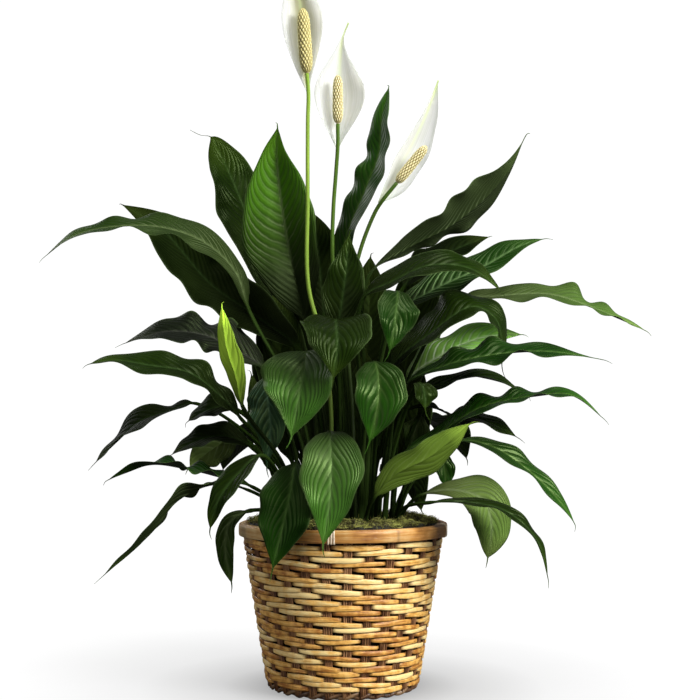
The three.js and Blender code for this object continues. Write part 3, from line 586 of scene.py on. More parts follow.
def hoop(middle, low, high, thickness, ripple, steps=240, seam=None):
    """A flat band round the vertical axis: a rounded section |x|⁴ + |z|⁴ = 1, rippled as it runs."""
    turn, a = circle(steps)[:, None], circle(16)
    waver = ripple * (np.sin(5 * turn + 1) + 0.6 * np.sin(11 * turn))
    gap = 0 * turn if seam is None else np.exp(-(((turn - seam) * middle / SEAM_WIDTH) ** 2))
    out = middle + thickness / 2 * rounded(a, 4) * np.cos(a) + waver - SEAM_DEPTH * gap
    z = (low + high) / 2 + (high - low) / 2 * rounded(a, 4) * np.sin(a) + 0.6 * waver
    return ring(around(out, turn, z), u=turn * middle, v=a / TURN, tuck=gap)


hoops = [
    hoop(RIM_RADIUS - 0.0012, HEIGHT - RIM_HEIGHT, HEIGHT, 0.0022, 0.00015, seam=RIM_SEAM),
    hoop(RIM_RADIUS - 0.0098, HEIGHT - RIM_HEIGHT, HEIGHT - 0.0008, 0.0020, 0.0002),
    hoop(RIM_RADIUS - 0.0055, HEIGHT - 0.0025, HEIGHT + 0.0012, 0.0062, 0.0002)]

# %% Bindings
BINDINGS = (FRONT - 0.10, FRONT + 1.32, FRONT + 2.75, FRONT + 4.2)
STRIP_PITCH, STRIP_HALF_WIDTH, STRIP_HALF_THICKNESS = 0.0026, 0.0010, 0.00045
LOOP_MIDDLE, LOOP_HALF_WIDTH, LOOP_HALF_HEIGHT = RIM_RADIUS - 0.0055, 0.0061, 0.0069


def binding(turn, strips=3, sides=8):
    """Strips of peeled cane wound round the rim: each a closed loop round the hoops' section."""
    a, b = circle(40)[:, None], circle(sides)
    shapes = []
    for strip in range(strips):
        offset = (strip - (strips - 1) / 2) * STRIP_PITCH + 0.0004 * np.sin(a + strip)
        offset = offset + STRIP_HALF_WIDTH * np.cos(b)
        thick = STRIP_HALF_THICKNESS * np.sin(b)
        out = LOOP_MIDDLE + (LOOP_HALF_WIDTH + thick) * rounded(a, 6) * np.cos(a)
        z = HEIGHT - RIM_HEIGHT / 2 + (LOOP_HALF_HEIGHT + thick) * rounded(a, 6) * np.sin(a)
        grid = around(out, turn, z, offset)
        shapes.append(ring(grid, u=a * 0.01, v=b / TURN, tuck=0.0, tone=0.9, border=0.0))
    return join(shapes)


# %% Bamboo finish
def bamboo(tree):
    """Split bamboo: orange to cream in long patches, fine lines along the band."""
    lines = grain(tree, 1.0, 5.0, stretch=(25, 14, 1), source="UV")
    shade = 0.55 * lines + 0.95 * grain(tree, 17.0, 4.0)
    colour = ramp(
        tree, shade, (0.56, (0.20, 0.065, 0.012)), (0.72, (0.52, 0.245, 0.056)), (0.90, (0.74, 0.52, 0.23)))
    return {
        "Base Color": mixed(tree, field(tree, "tuck"), colour, (0.08, 0.03, 0.01)),
        "Roughness": 0.2 * lines + 0.28, "Normal": relief(tree, lines, 0.0005, 0.5)}


rim_bamboo = finish("split_bamboo", bamboo, Specular_IOR_Level=0.5)
peeled_cane = finish(
    "peeled_cane", cane, (0.40, 0.25, 0.12), (0.65, 0.48, 0.30), (0.80, 0.68, 0.50), (0.2, 0.1, 0.05))
put_piece("rim_hoops", join(hoops), rim_bamboo, "rim_band", "basket_rim")
put_piece("rim_bindings", join([binding(turn) for turn in BINDINGS]), peeled_cane, "rim_band")


# %% Foot rope
ROPE_MIDDLE, LAY_OUT, LAY_UP = BASE_RADIUS - 0.0044, 0.0019, 0.0024
ROPE_CANE_OUT, ROPE_CANE_UP = 0.0024, 0.0026


def foot_rope(strands=2, lays=15, steps=680, sides=8):
    """Canes laid round each other: each strand's middle circles the rope's middle once per lay."""
    turn, a = circle(steps)[:, None], circle(sides)
    shapes = []
    for strand in range(strands):
        lay = lays * turn + TURN * strand / strands
        out = ROPE_MIDDLE + LAY_OUT * np.cos(lay) + ROPE_CANE_OUT * np.cos(a)
        z = FOOT_HEIGHT / 2 + LAY_UP * np.sin(lay) + ROPE_CANE_UP * np.sin(a)
        tone = 0.3 + 0.3 * strand + 0.2 * np.sin(7 * turn)
        # tuck darkens the whole rope a little with its painted shade.
        fields = dict(u=turn * BASE_RADIUS, v=a / TURN, tuck=0.15, border=0.0, tone=tone)
        shapes.append(ring(around(out, turn, z), **fields))
    return join(shapes)


rope_cane = finish(
    "foot_cane", cane, (0.07, 0.030, 0.013), (0.18, 0.085, 0.033), (0.42, 0.25, 0.11), (0.04, 0.019, 0.009))
put_piece("foot_rope", foot_rope(), rope_cane, "foot_rope", "basket_foot")
print("rim, bindings and foot in place")

# %% [markdown]
# ## Liner, soil and moss
#
# The growing pot inside is a thin plastic film liner: its crumpled edge shows above the rim. The soil
# is a mound with a crumbly surface, and a cushion of dry moss hides most of it. Moss is drawn as what
# it is: thousands of curled fibres, each a thin three-sided tube, over a rough cushion. Hair would be
# quicker to set up, but it can't be exported as a surface, and tubes can.

# %% Liner
LINER_FLOOR, LINER_SHOULDER, LINER_TOP = 0.0144, 0.160, 0.178
LINER_BASE_RADIUS, LINER_TOP_RADIUS, LINER_THICKNESS = 0.0796, 0.1014, 0.0008
LIP_CRUMPLE, LIP_WAVE = 0.0007, 0.0011
SOIL_EDGE, SOIL_CROWN = 0.152, 0.168


def liner_film(steps=300, rows=28):
    """A film of revolution, down the outside and up the inside, whose lip crumples and waves."""
    turn, up = circle(steps), np.linspace(0, 1, rows)[:, None]
    z = LINER_FLOOR + (LINER_TOP - LINER_FLOOR) * up
    part = np.clip((z - LINER_FLOOR) / (LINER_SHOULDER - LINER_FLOOR), 0, 1)
    crumple = np.sin(9 * turn + 1) + 0.7 * np.sin(23 * turn) + 0.5 * np.sin(41 * turn + 2)
    lip = smoothstep(up, 0.9, 1.0)
    out = LINER_BASE_RADIUS + (LINER_TOP_RADIUS - LINER_BASE_RADIUS) * part + lip * LIP_CRUMPLE * crumple
    z = z + lip * LIP_WAVE * np.roll(crumple, 7)
    floor_out = np.linspace(0.004, LINER_BASE_RADIUS, 5)[:, None]
    return tube(np.concatenate([around(*skin) for skin in (
        (floor_out, turn, LINER_FLOOR), (out, turn, z), (out[::-1] - LINER_THICKNESS, turn, z[::-1]),
        (floor_out[::-1] - LINER_THICKNESS, turn, LINER_FLOOR + LINER_THICKNESS))]))


def film(tree):
    """Dark plastic film, dusty in places."""
    dust = grain(tree, 40.0, 5.0)
    return {
        "Base Color": ramp(tree, dust, (0.45, (0.005, 0.006, 0.003)), (0.75, (0.022, 0.020, 0.012))),
        "Roughness": 0.3 * dust + 0.45, "Normal": relief(tree, grain(tree, 220.0, 3.0), 0.0006, 0.5)}


put_piece("liner_film", liner_film(), finish("dark_film", film, Specular_IOR_Level=0.2), "liner", "liner")


# %% Soil
def soil_height(out):
    """The mound: a parabola from the crown down to the edge."""
    return SOIL_CROWN + (SOIL_EDGE - SOIL_CROWN) * (out / LINER_TOP_RADIUS) ** 2


def soil_mound(rings=46, steps=150, crumb=0.0013):
    """The mound with crumbs: sines of unlike pitch added over its surface, flat underneath."""
    turn = circle(steps)
    edge = LINER_TOP_RADIUS - 0.0032
    out = np.linspace(edge, 0.001, rings)[:, None]
    x, y = out * np.cos(turn), out * np.sin(turn)
    crumbs = np.sin(x * 900 + 2 * np.sin(y * 500)) * np.sin(y * 850 + 2 * np.sin(x * 430))
    crumbs = crumbs + 0.6 * np.sin(x * 1900 + y * 700) * np.sin(y * 2100)
    top = around(out, turn, soil_height(out) - 0.001 + crumb * crumbs * (out < edge))
    under = np.array([0.03, 0.9, 1.0])[:, None] * (LINER_BASE_RADIUS - 0.003)
    return tube(np.concatenate([around(under, turn, LINER_FLOOR + 0.0015), top]))


def earth(tree):
    """Peat: near black, with paler crumbs."""
    crumbs = grain(tree, 420.0, 6.0)
    peat = ((0.40, (0.012, 0.008, 0.005)), (0.58, (0.05, 0.032, 0.018)), (0.72, (0.16, 0.11, 0.07)))
    return {"Base Color": ramp(tree, crumbs, *peat), "Normal": relief(tree, crumbs, 0.002)}


put_piece("soil_mound", soil_mound(), finish("peat", earth, Roughness=0.95), "soil", "soil")


# %% Moss
MOSS_INSIDE, MOSS_OUTSIDE, MOSS_HEIGHT, MOSS_FIBRES = 0.070, 0.0985, 0.026, 6500
FIBRES_SPILL, FIBRE_RADIUS, FIBRE_SIZE, FIBRE_SIZE_VARIES = 0.0035, 0.00021, 0.0022, 0.0045
MOSS_LUMPS, MOSS_MATTING = 0.0014, 0.0009


def moss_top(out, turn):
    """How high the moss stands: a rounded cushion over the soil, lumpy round the ring."""
    across = np.clip((out - MOSS_INSIDE) / (MOSS_OUTSIDE - MOSS_INSIDE), 0, 1)
    swell = np.sqrt(np.clip(1 - (2 * across - 1.05) ** 4, 0, 1))
    lumps = MOSS_LUMPS * (np.sin(17 * turn + 1) + np.sin(29 * turn + 40 * out / RIM_RADIUS))
    return soil_height(out) + swell * (MOSS_HEIGHT - 0.001 + lumps)


def moss_cushion(steps=240, rows=20):
    """The matted middle of the moss, closed under its edge."""
    turn, out = circle(steps)[:, None], np.linspace(MOSS_INSIDE, MOSS_OUTSIDE, rows)
    matted = MOSS_MATTING * np.sin(turn * 140 + out * 900) * np.sin(turn * 90 - out * 1500)
    top = around(out, turn, moss_top(out, turn) - 0.002 + matted)
    low = around(out[::-1], turn, soil_height(out[::-1]) - 0.003)
    return ring(np.concatenate([top, low], axis=1), tone=0.15)


def moss_fibres(count=MOSS_FIBRES, rows=6):
    """Curled fibres: each an arc of a circle whose plane and size are drawn at random."""
    turn, across = scatter.random(count) * TURN, scatter.random(count)
    out = MOSS_INSIDE + 0.001 + (MOSS_OUTSIDE - MOSS_INSIDE + FIBRES_SPILL) * across
    height = np.maximum(moss_top(out, turn), LINER_TOP + 0.001) - 0.0015 + 0.0025 * scatter.random(count)
    centre = around(out, turn, height)[:, None, :]
    level = unit(scatter.normal(size=(count, 3)) * (1, 1, 0.25))[:, None, :]
    bend = unit(np.cross(level, scatter.normal(size=(count, 1, 3))))
    size = (FIBRE_SIZE + FIBRE_SIZE_VARIES * scatter.random(count) ** 2)[:, None, None]
    arc = (np.linspace(-1, 1, rows) * (0.7 + 1.1 * scatter.random(count))[:, None])[:, :, None]
    middle = centre + size * (level * np.sin(arc) + bend * (np.cos(arc) - 0.7))
    heading = unit(level * np.cos(arc) - bend * np.sin(arc))
    normal = unit(np.cross(level, bend))
    third = np.cross(heading, normal + 0 * heading)
    a = circle(3)[:, None]
    thin = FIBRE_RADIUS * (1.1 - np.abs(np.linspace(-1, 1, rows)) ** 3)[:, None, None]
    shell = normal[:, :, None] * np.cos(a) + third[:, :, None] * np.sin(a)
    tones = 0.25 + 0.75 * scatter.random(count)
    return join([tube(fibre, tone=tone) for fibre, tone in zip(middle[:, :, None] + thin * shell, tones)])


def dry_moss(tree):
    """Moss from brown to yellow green, each fibre with its own tone."""
    clumps = 0.5 * grain(tree, 120.0, 3.0) + 0.6 * grain(tree, 38.0)
    return {"Base Color": ramp(
        tree, 0.45 * field(tree, "tone") + clumps, (0.55, (0.016, 0.011, 0.004)),
        (0.72, (0.070, 0.056, 0.013)), (0.88, (0.16, 0.165, 0.028)), (1.0, (0.44, 0.45, 0.10)))}


moss_look = finish("dry_moss", dry_moss, Roughness=0.9)
put_piece("moss_cushion", moss_cushion(), moss_look, "moss", "moss")
put_piece("moss_fibres", moss_fibres(), moss_look, "moss")
print(MOSS_FIBRES, "fibres of moss")

# %% [markdown]
# ## The leaves
#
# A peace lily's leaf is a long stalk that widens into a blade. The blade is creased along its midrib,
# its halves bulge between sunken side veins that sweep towards the tip, its edge is waved, and its tip
# runs out into a thin thread. Each leaf below repeats the construction model's own numbers, in
# millimetres and degrees: which way it leans, how wide it is, where its stalk leaves the soil, where
# its blade begins, and the points that its midrib bends through. One formula then makes all of them,
# so what differs from leaf to leaf is only these and how it is rolled, waved and finished.

# %% Leaf paths
FINE_VEINS, BROAD_FOOT = dict(sweep=1.7, pitch=17), dict(outline=(0.9, 1.3))


def leaf(lean, width, root, neck, *blade, roll=(0, 0), **own):
    """The numbers of one leaf; `own` are those in which it differs from the usual ones."""
    return dict(lean=lean, width=width, root=root, neck=neck, blade=blade, roll=roll, **own)


LEAVES = dict(
    back_left_tall=leaf(115, 74, (-18, 30), (-70, 96, 410), (-100, 124, 490), (-126, 142, 556),
        (-150, 150, 610), (-164, 146, 636), sweep=1.2, pitch=13, ripple=0.14, outline=(0.8, 0.7),
        tail=(-26, 0, 9)),
    tall_bright=leaf(95, 88, (-12, 14), (-42, 38, 395), (-60, 52, 473), (-72, 58, 542), (-77, 56, 594),
        (-76, 50, 626), roll=(-18, -25), finish="bright", sweep=0.6, pitch=12, ripple=0.06, fold=0.55,
        outline=(1, 1.15)),
    left_high_arch=leaf(180, 43, (-24, 0), (-102, -12, 405), (-118, -14, 449), (-151, -16, 481),
        (-195, -18, 497), (-244, -18, 499), (-294, -16, 489), (-326, -14, 467), roll=(-48, -25),
        finish="streaked", sweep=1.5, ripple=0.24),
    left_back_dark=leaf(140, 70, (-14, 24), (-46, 50, 362), (-99, 70, 406), (-157, 84, 448),
        (-214, 92, 512), (-262, 92, 542), roll=(-38, -30), finish="shade", sweep=1.6),
    left_grey_wing=leaf(170, 60, (-30, 14), (-87, 28, 343), (-122, 40, 367), (-158, 48, 384),
        (-204, 50, 388), (-249, 48, 375), roll=(-45, -30), finish="grey_sheen", ripple=0.3),
    young_lime=leaf(160, 26, (-44, -48), (-103, -80, 300), (-110, -84, 331), (-120, -86, 363),
        (-125, -86, 404), roll=(80, 80), finish="lime", ripple=0.05, **FINE_VEINS),
    left_mid_long=leaf(182, 50, (-46, -8), (-107, -40, 287), (-131, -44, 313), (-163, -46, 337),
        (-205, -46, 345), (-246, -44, 351), (-270, -42, 347), roll=(-30, -30), sweep=1.5, pitch=14,
        ripple=0.34),
    left_dark_wavy=leaf(180, 44, (-40, 24), (-166, 40, 306), (-196, 38, 298), (-229, 34, 286),
        (-253, 30, 264), (-277, 28, 240), roll=(-25, -25), finish="shade", ripple=0.35),
    left_under_tail=leaf(175, 42, (-48, 8), (-118, -6, 300), (-143, -8, 300), (-169, -8, 286),
        roll=(-40, -30), finish="shade", shoot="left"),
    left_small_dark=leaf(178, 46, (-56, 0), (-100, -22, 259), (-130, -26, 270), (-159, -28, 264),
        (-184, -28, 250), roll=(-35, -25), finish="shade"),
    left_small_olive=leaf(165, 44, (-48, 8), (-118, 26, 269), (-145, 36, 256), (-173, 40, 234),
        roll=(60, 60), finish="soft", shoot="left"),
    left_low_long=leaf(182, 40, (-58, -8), (-94, -38, 215), (-130, -46, 227), (-167, -48, 236),
        (-204, -48, 240), (-248, -46, 224), roll=(-25, 20), finish="cool", ripple=0.4),
    left_low_arch=leaf(184, 36, (-55, -30), (-97, -66, 214), (-133, -80, 221), (-169, -84, 205),
        (-197, -84, 171), (-245, -82, 128), roll=(10, 15), finish="streaked", ripple=0.4, **FINE_VEINS),
    left_small_droop=leaf(195, 29, (-49, -37), (-83, -92, 251), (-105, -103, 233), (-123, -109, 209),
        (-133, -109, 178), roll=(-40, -45), **FINE_VEINS),
    rim_left_small=leaf(195, 21, (-60, -18), (-100, -46, 191), (-118, -56, 180), (-123, -58, 154),
        (-116, -58, 117), roll=(-50, -70), finish="streaked", bend=(-73, -27, 187), **FINE_VEINS),
    front_left_hang=leaf(250, 60, (-34, -50), (-47, -92, 244), (-52, -110, 217), (-60, -114, 178),
        (-70, -112, 137), finish="cool", sweep=1.9, pitch=15, ripple=0.1, **BROAD_FOOT),
    front_centre_hang=leaf(268, 62, (-8, -58), (-13, -84, 275), (-11, -116, 249), (-12, -130, 208),
        (-19, -130, 162), finish="glossy", sweep=1.9, pitch=16, ripple=0.08, **BROAD_FOOT),
    centre_left_glossy=leaf(255, 82, (-24, -36), (-38, -56, 358), (-39, -84, 346), (-44, -102, 312),
        (-52, -104, 269), finish="glossy", sweep=2.0, pitch=18, ripple=0.08, **BROAD_FOOT),
    centre_left_dark=leaf(240, 48, (-40, -38), (-81, -44, 335), (-79, -57, 313), (-76, -56, 277),
        (-80, -52, 238), finish="teal_sheen", outline=(0.9, 1.4)),
    centre_top_arch=leaf(268, 74, (-2, -30), (-7, -62, 391), (-6, -96, 382), (-5, -118, 358),
        (-9, -124, 328), sweep=1.6, pitch=15, ripple=0.12, **BROAD_FOOT),
    centre_right_heart=leaf(280, 54, (18, -44), (33, -84, 347), (37, -100, 330), (35, -110, 297),
        (27, -110, 264), finish="mid", sweep=1.5, pitch=17, ripple=0.1, fold=0.3, **BROAD_FOOT),
    centre_top_upright=leaf(80, 46, (4, -4), (-5, -6, 384), (0, -8, 421), (4, -8, 454), (7, -4, 493),
        **BROAD_FOOT),
    right_tall_narrow=leaf(70, 44, (8, 22), (-4, 44, 430), (4, 56, 500), (25, 62, 553), (42, 66, 600),
        (45, 68, 640), (53, 70, 676), roll=(-25, -25), finish="mid", outline=(0.9, 0.8)),
    back_centre_dark=leaf(88, 62, (-2, 36), (-21, 72, 404), (-28, 88, 470), (-35, 96, 532), finish="shade"),
    right_high_wing=leaf(5, 66, (22, 10), (28, 22, 448), (70, 26, 480), (121, 30, 507), (163, 30, 541),
        (188, 28, 571), (207, 26, 609), roll=(-28, -35), finish="brown", sweep=1.7, ripple=0.13,
        outline=(1.6, 1.3, 1.5)),
    right_back_dark=leaf(25, 50, (20, 30), (68, 62, 438), (119, 74, 480), (171, 80, 502), roll=(32, 26),
        finish="shade"),
    right_striped=leaf(8, 52, (26, -2), (54, 0, 400), (96, 2, 429), (154, 4, 456), (197, 4, 480),
        (222, 4, 488), roll=(35, 35), finish="striped", sweep=0.8),
    right_long_arc=leaf(2, 52, (18, -12), (21, -30, 417), (53, -36, 436), (94, -40, 453), (137, -42, 449),
        (169, -42, 426), roll=(32, 34), sweep=1.4, pitch=14),
    right_olive_long=leaf(358, 44, (33, 2), (125, -6, 416), (171, -8, 423), (225, -10, 425),
        (263, -12, 414), (330, -14, 385), roll=(38, 22), finish="olive", sweep=1.4, ripple=0.4),
    right_centre_hook=leaf(355, 66, (30, -18), (48, -54, 338), (92, -60, 378), (139, -56, 407),
        (164, -50, 392), (170, -44, 342), roll=(30, 30), sweep=1.3, outline=(0.9, 1.4)),
    centre_right_drop=leaf(290, 44, (22, -30), (58, -66, 422), (56, -84, 403), (53, -92, 380),
        (48, -94, 357), finish="cool", sweep=1.6, pitch=14, ripple=0.1, **BROAD_FOOT),
    right_mid_long=leaf(356, 48, (44, -16), (63, -58, 321), (108, -72, 344), (166, -78, 356),
        (213, -78, 358), (270, -76, 350), roll=(30, 25), finish="cool", ripple=0.3,
        outline=(1.2, 1.2, 1.6)),
    right_bright_striped=leaf(4, 52, (38, 8), (68, 20, 327), (109, 22, 359), (154, 24, 379), (200, 24, 383),
        roll=(40, 40), finish="shining", sweep=0.7),
    right_thin_tail=leaf(0, 34, (43, -9), (71, -17, 309), (111, -24, 327), (154, -26, 334), (198, -26, 314),
        roll=(20, 20), **FINE_VEINS),
    right_small_drop=leaf(300, 30, (43, -28), (79, -80, 325), (84, -88, 316), (85, -90, 298), **FINE_VEINS,
        **BROAD_FOOT),
    right_dark_sliver=leaf(0, 22, (52, 10), (69, 10, 296), (99, 10, 301), (125, 10, 288), roll=(10, 10),
        finish="shade", shoot="right", **FINE_VEINS),
    right_low_long=leaf(358, 40, (52, -12), (61, -38, 247), (104, -45, 274), (146, -50, 300),
        (200, -51, 312), (243, -51, 313), (275, -49, 290), roll=(25, 15), finish="mid", ripple=0.3),
    right_low_short=leaf(358, 34, (56, -2), (105, -16, 274), (136, -18, 290), (157, -18, 285),
        (188, -18, 269), roll=(35, 30), **FINE_VEINS),
    right_low_arch=leaf(352, 30, (54, -20), (118, -56, 264), (155, -60, 260), (196, -62, 233),
        (225, -62, 204), (242, -60, 180), roll=(30, 30), finish="mid", **FINE_VEINS),
    right_front_olive=leaf(340, 36, (22, -56), (32, -84, 207), (54, -88, 231), (90, -90, 250),
        (131, -88, 283), roll=(-72, -60), finish="fresh", sweep=2.2, pitch=18, ripple=0.3),
    rim_right_droop=leaf(345, 50, (56, -30), (81, -58, 208), (117, -66, 214), (146, -72, 204),
        (154, -74, 179), (150, -74, 145), roll=(30, 60), finish="soft", sweep=1.4, outline=(1.3, 0.9)),
    rim_right_thin=leaf(350, 22, (50, -42), (88, -92, 203), (125, -102, 204), (165, -106, 195),
        (196, -106, 166), (207, -104, 129), roll=(20, 20), bend=(62, -62, 194), **FINE_VEINS),
    right_small_green=leaf(350, 24, (52, 10), (107, 4, 252), (111, 4, 238), (114, 4, 214), roll=(60, 60),
        finish="mid", shoot="right", **FINE_VEINS),
    back_left_arch=leaf(112, 66, (-30, 46), (-52, 96, 330), (-66, 140, 352), (-84, 186, 340),
        (-98, 222, 300), roll=(0, 10), shoot="back_left"),
    back_left_low=leaf(128, 56, (-30, 46), (-70, 92, 262), (-98, 124, 276), (-128, 154, 262),
        (-150, 180, 226), roll=(10, 0), shoot="back_left"),
    back_high_arch=leaf(90, 70, (2, 54), (2, 112, 372), (4, 150, 402), (6, 196, 398), (8, 236, 362),
        shoot="back"),
    back_mid=leaf(96, 60, (2, 54), (-8, 108, 262), (-12, 148, 280), (-18, 188, 264), (-24, 216, 222),
        roll=(0, -10), shoot="back"),
    back_right_arch=leaf(70, 64, (32, 46), (46, 94, 340), (60, 134, 366), (78, 178, 360), (94, 214, 326),
        roll=(0, -10), shoot="back_right"),
    back_right_low=leaf(52, 56, (32, 46), (68, 86, 272), (98, 118, 288), (128, 150, 276), (152, 176, 240),
        roll=(-10, 0), shoot="back_right"),
    back_rim_left=leaf(98, 46, (12, 64), (14, 100, 214), (10, 132, 222), (6, 162, 200), (2, 178, 160),
        shoot="back_rim"),
    back_rim_right=leaf(62, 44, (12, 64), (44, 104, 222), (64, 134, 230), (84, 162, 212), (96, 178, 176),
        shoot="back_rim"),
    inner_left=leaf(95, 50, (-30, 46), (-30, 76, 214), (-31, 90, 258), (-28, 100, 304), (-24, 108, 348),
        finish="inner_shade", shoot="back_left"),
    inner_middle=leaf(88, 60, (2, 54), (18, 82, 222), (26, 96, 268), (30, 104, 316), (30, 108, 362),
        finish="inner_shade", shoot="back", outline=(0.9, 1.4)),
    inner_right=leaf(60, 50, (32, 46), (66, 56, 226), (80, 58, 270), (88, 60, 314), (92, 60, 350),
        finish="inner_shade", shoot="back_right", outline=(0.9, 1.4)),
    inner_back_left=leaf(130, 58, (-30, 46), (-62, 78, 268), (-78, 92, 320), (-88, 104, 372),
        (-92, 112, 418), finish="inner_shade", shoot="back_left"),
    inner_back_right=leaf(60, 56, (32, 46), (54, 84, 316), (66, 98, 366), (74, 110, 414), (78, 118, 456),
        finish="inner_shade", shoot="back_right", outline=(0.9, 1.4)),
    right_small_olive=leaf(10, 34, (52, 10), (86, 26, 294), (81, 28, 276), (74, 28, 253), roll=(70, 70),
        finish="olive", shoot="right", **FINE_VEINS))

# %% Leaves deep in the crown
# Dark leaves put in the crown where only shade shows: painted shade, all in the crown's near-black look.
SHADED_LEAVES = dict(
    left=leaf(100, 66, (-36, 30), (-58, 70, 235), (-68, 84, 300), (-74, 92, 370), (-78, 96, 445)),
    left_inner=leaf(95, 68, (-24, 40), (-36, 80, 250), (-44, 92, 320), (-50, 100, 395), (-54, 106, 465)),
    right_high=leaf(70, 72, (30, 36), (60, 62, 300), (74, 72, 360), (86, 80, 420), (98, 86, 485)),
    right_top=leaf(85, 62, (10, 40), (18, 70, 290), (26, 80, 350), (30, 86, 410), (32, 90, 480)),
    middle=leaf(90, 68, (-6, 44), (0, 84, 235), (0, 96, 295), (2, 104, 355), (2, 108, 410)),
    right_inner=leaf(88, 66, (14, 44), (30, 80, 235), (34, 92, 290), (38, 100, 345), (40, 104, 400)),
    right=leaf(80, 58, (34, 32), (54, 66, 230), (62, 78, 280), (68, 84, 330), (70, 86, 375)),
    left_low=leaf(150, 46, (-46, 20), (-80, 50, 225), (-94, 56, 268), (-102, 60, 305), (-106, 60, 340)),
    front_left=leaf(95, 50, (-20, 24), (-22, 40, 225), (-26, 46, 275), (-28, 50, 325), (-30, 52, 370)),
    front_right=leaf(85, 50, (14, 24), (16, 36, 225), (20, 42, 275), (24, 46, 322), (26, 48, 365)))

# %% Leaf sizes
PETIOLE_RADIUS, SHEATH_RADIUS, BLADE_EDGE, BLADE_MIDDLE = 0.0021, 0.0035, 0.00022, 0.00050
FOLD, EDGE_WAVE, EDGE_WAVES, EDGE_RIPPLE, EDGE_WANDER = 0.2, 0.07, 2.3, 0.22, 0.06
EDGE_WANDERS = ((1.0, 1.6, 1.3, 2.1), (0.6, 3.7, 2.9, 1.2))  # how far, waves, leaf's and half's shift
RIB_WIDTH, RIB_BELOW, RIB_ABOVE, RIB_FIELD_WIDTH = 0.0011, 0.0011, 0.0004, 0.0016
SHEATH_END, COLLAR_PLACE, COLLAR_LENGTH, COLLAR_SWELLS = 0.55, 0.96, 0.04, 0.25  # along the stalk
CHANNEL_DEPTH, CHANNEL_WIDTH = 0.55, 0.45
THREAD_START, THREAD_THINS = 0.0008, 0.0006
USUAL_OUTLINE = (0.9, 0.95)
VEIN_PITCH, VEIN_SWEEP, RIPPLE_LENGTH = 11, 1.0, 0.050
CROWN_CENTRE, CROWN_REACH = (0.0, 0.02, 0.26), (0.12, 0.11, 0.17)
ROOT_Z, STEM_EMERGES = 122, 2
BEND_OUT, BEND_UP = 0.3, 0.55
THREAD, THREAD_CURL = 9.0, 4.0
COLUMNS, STALK_ROWS, BLADE_ROWS, THREAD_ROWS = 25, 22, 104, 8


def out_of_soil(root):
    """Where a stem comes out of the mound, in millimetres."""
    return *root, soil_height(math.hypot(*root) * MM) / MM + STEM_EMERGES


def midrib_knots(leaf, number):
    """Upright out of the soil, bent over along the stalk, through the blade's points, then the thread.

    The thread carries on from the tip and curls aside, each leaf's to its own side, or else it ends
    where the leaf's `tail` says.
    """
    start, neck, blade = out_of_soil(leaf["root"]), leaf["neck"], leaf["blade"]
    shares = (BEND_OUT, BEND_OUT, BEND_UP)
    usual = [low + (high - low) * share for low, high, share in zip(start, neck, shares)]
    tip, before = np.array(blade[-1], float), np.array([neck, *blade][-2], float)
    ahead = unit(tip - before) * THREAD
    aside = np.array([math.cos(number * 2.4), math.sin(number * 2.4), -0.8]) * THREAD_CURL
    thread = [tip + ahead * 0.5 + aside * 0.25, tip + ahead * 0.9 + aside]
    if "tail" in leaf:
        thread = [tip + 0.5 * np.array(leaf["tail"]) - (0, 0, 2), tip + leaf["tail"]]
    return [start, leaf.get("bend", usual), neck, *blade, *thread]


def outline_share(part, rise, fall, drawn=1.0):
    """The share of its full width at a part of a blade: (p/w)^rise · ((1-p)/(1-w))^fall, w the widest.

    Past the widest place the share is raised to `drawn`, which draws the tip out.
    """
    widest = rise / (rise + fall)
    part = np.clip(part, 0, 1)
    share = (part / widest) ** rise * ((1 - part) / (1 - widest)) ** fall
    return np.where(part > widest, share**drawn, share)


def crown_depth(grid):
    """How deep in the crown's shade each point lies, from 0 outside to 1 in the middle."""
    return np.exp(-(((grid - CROWN_CENTRE) / CROWN_REACH) ** 2).sum(-1))


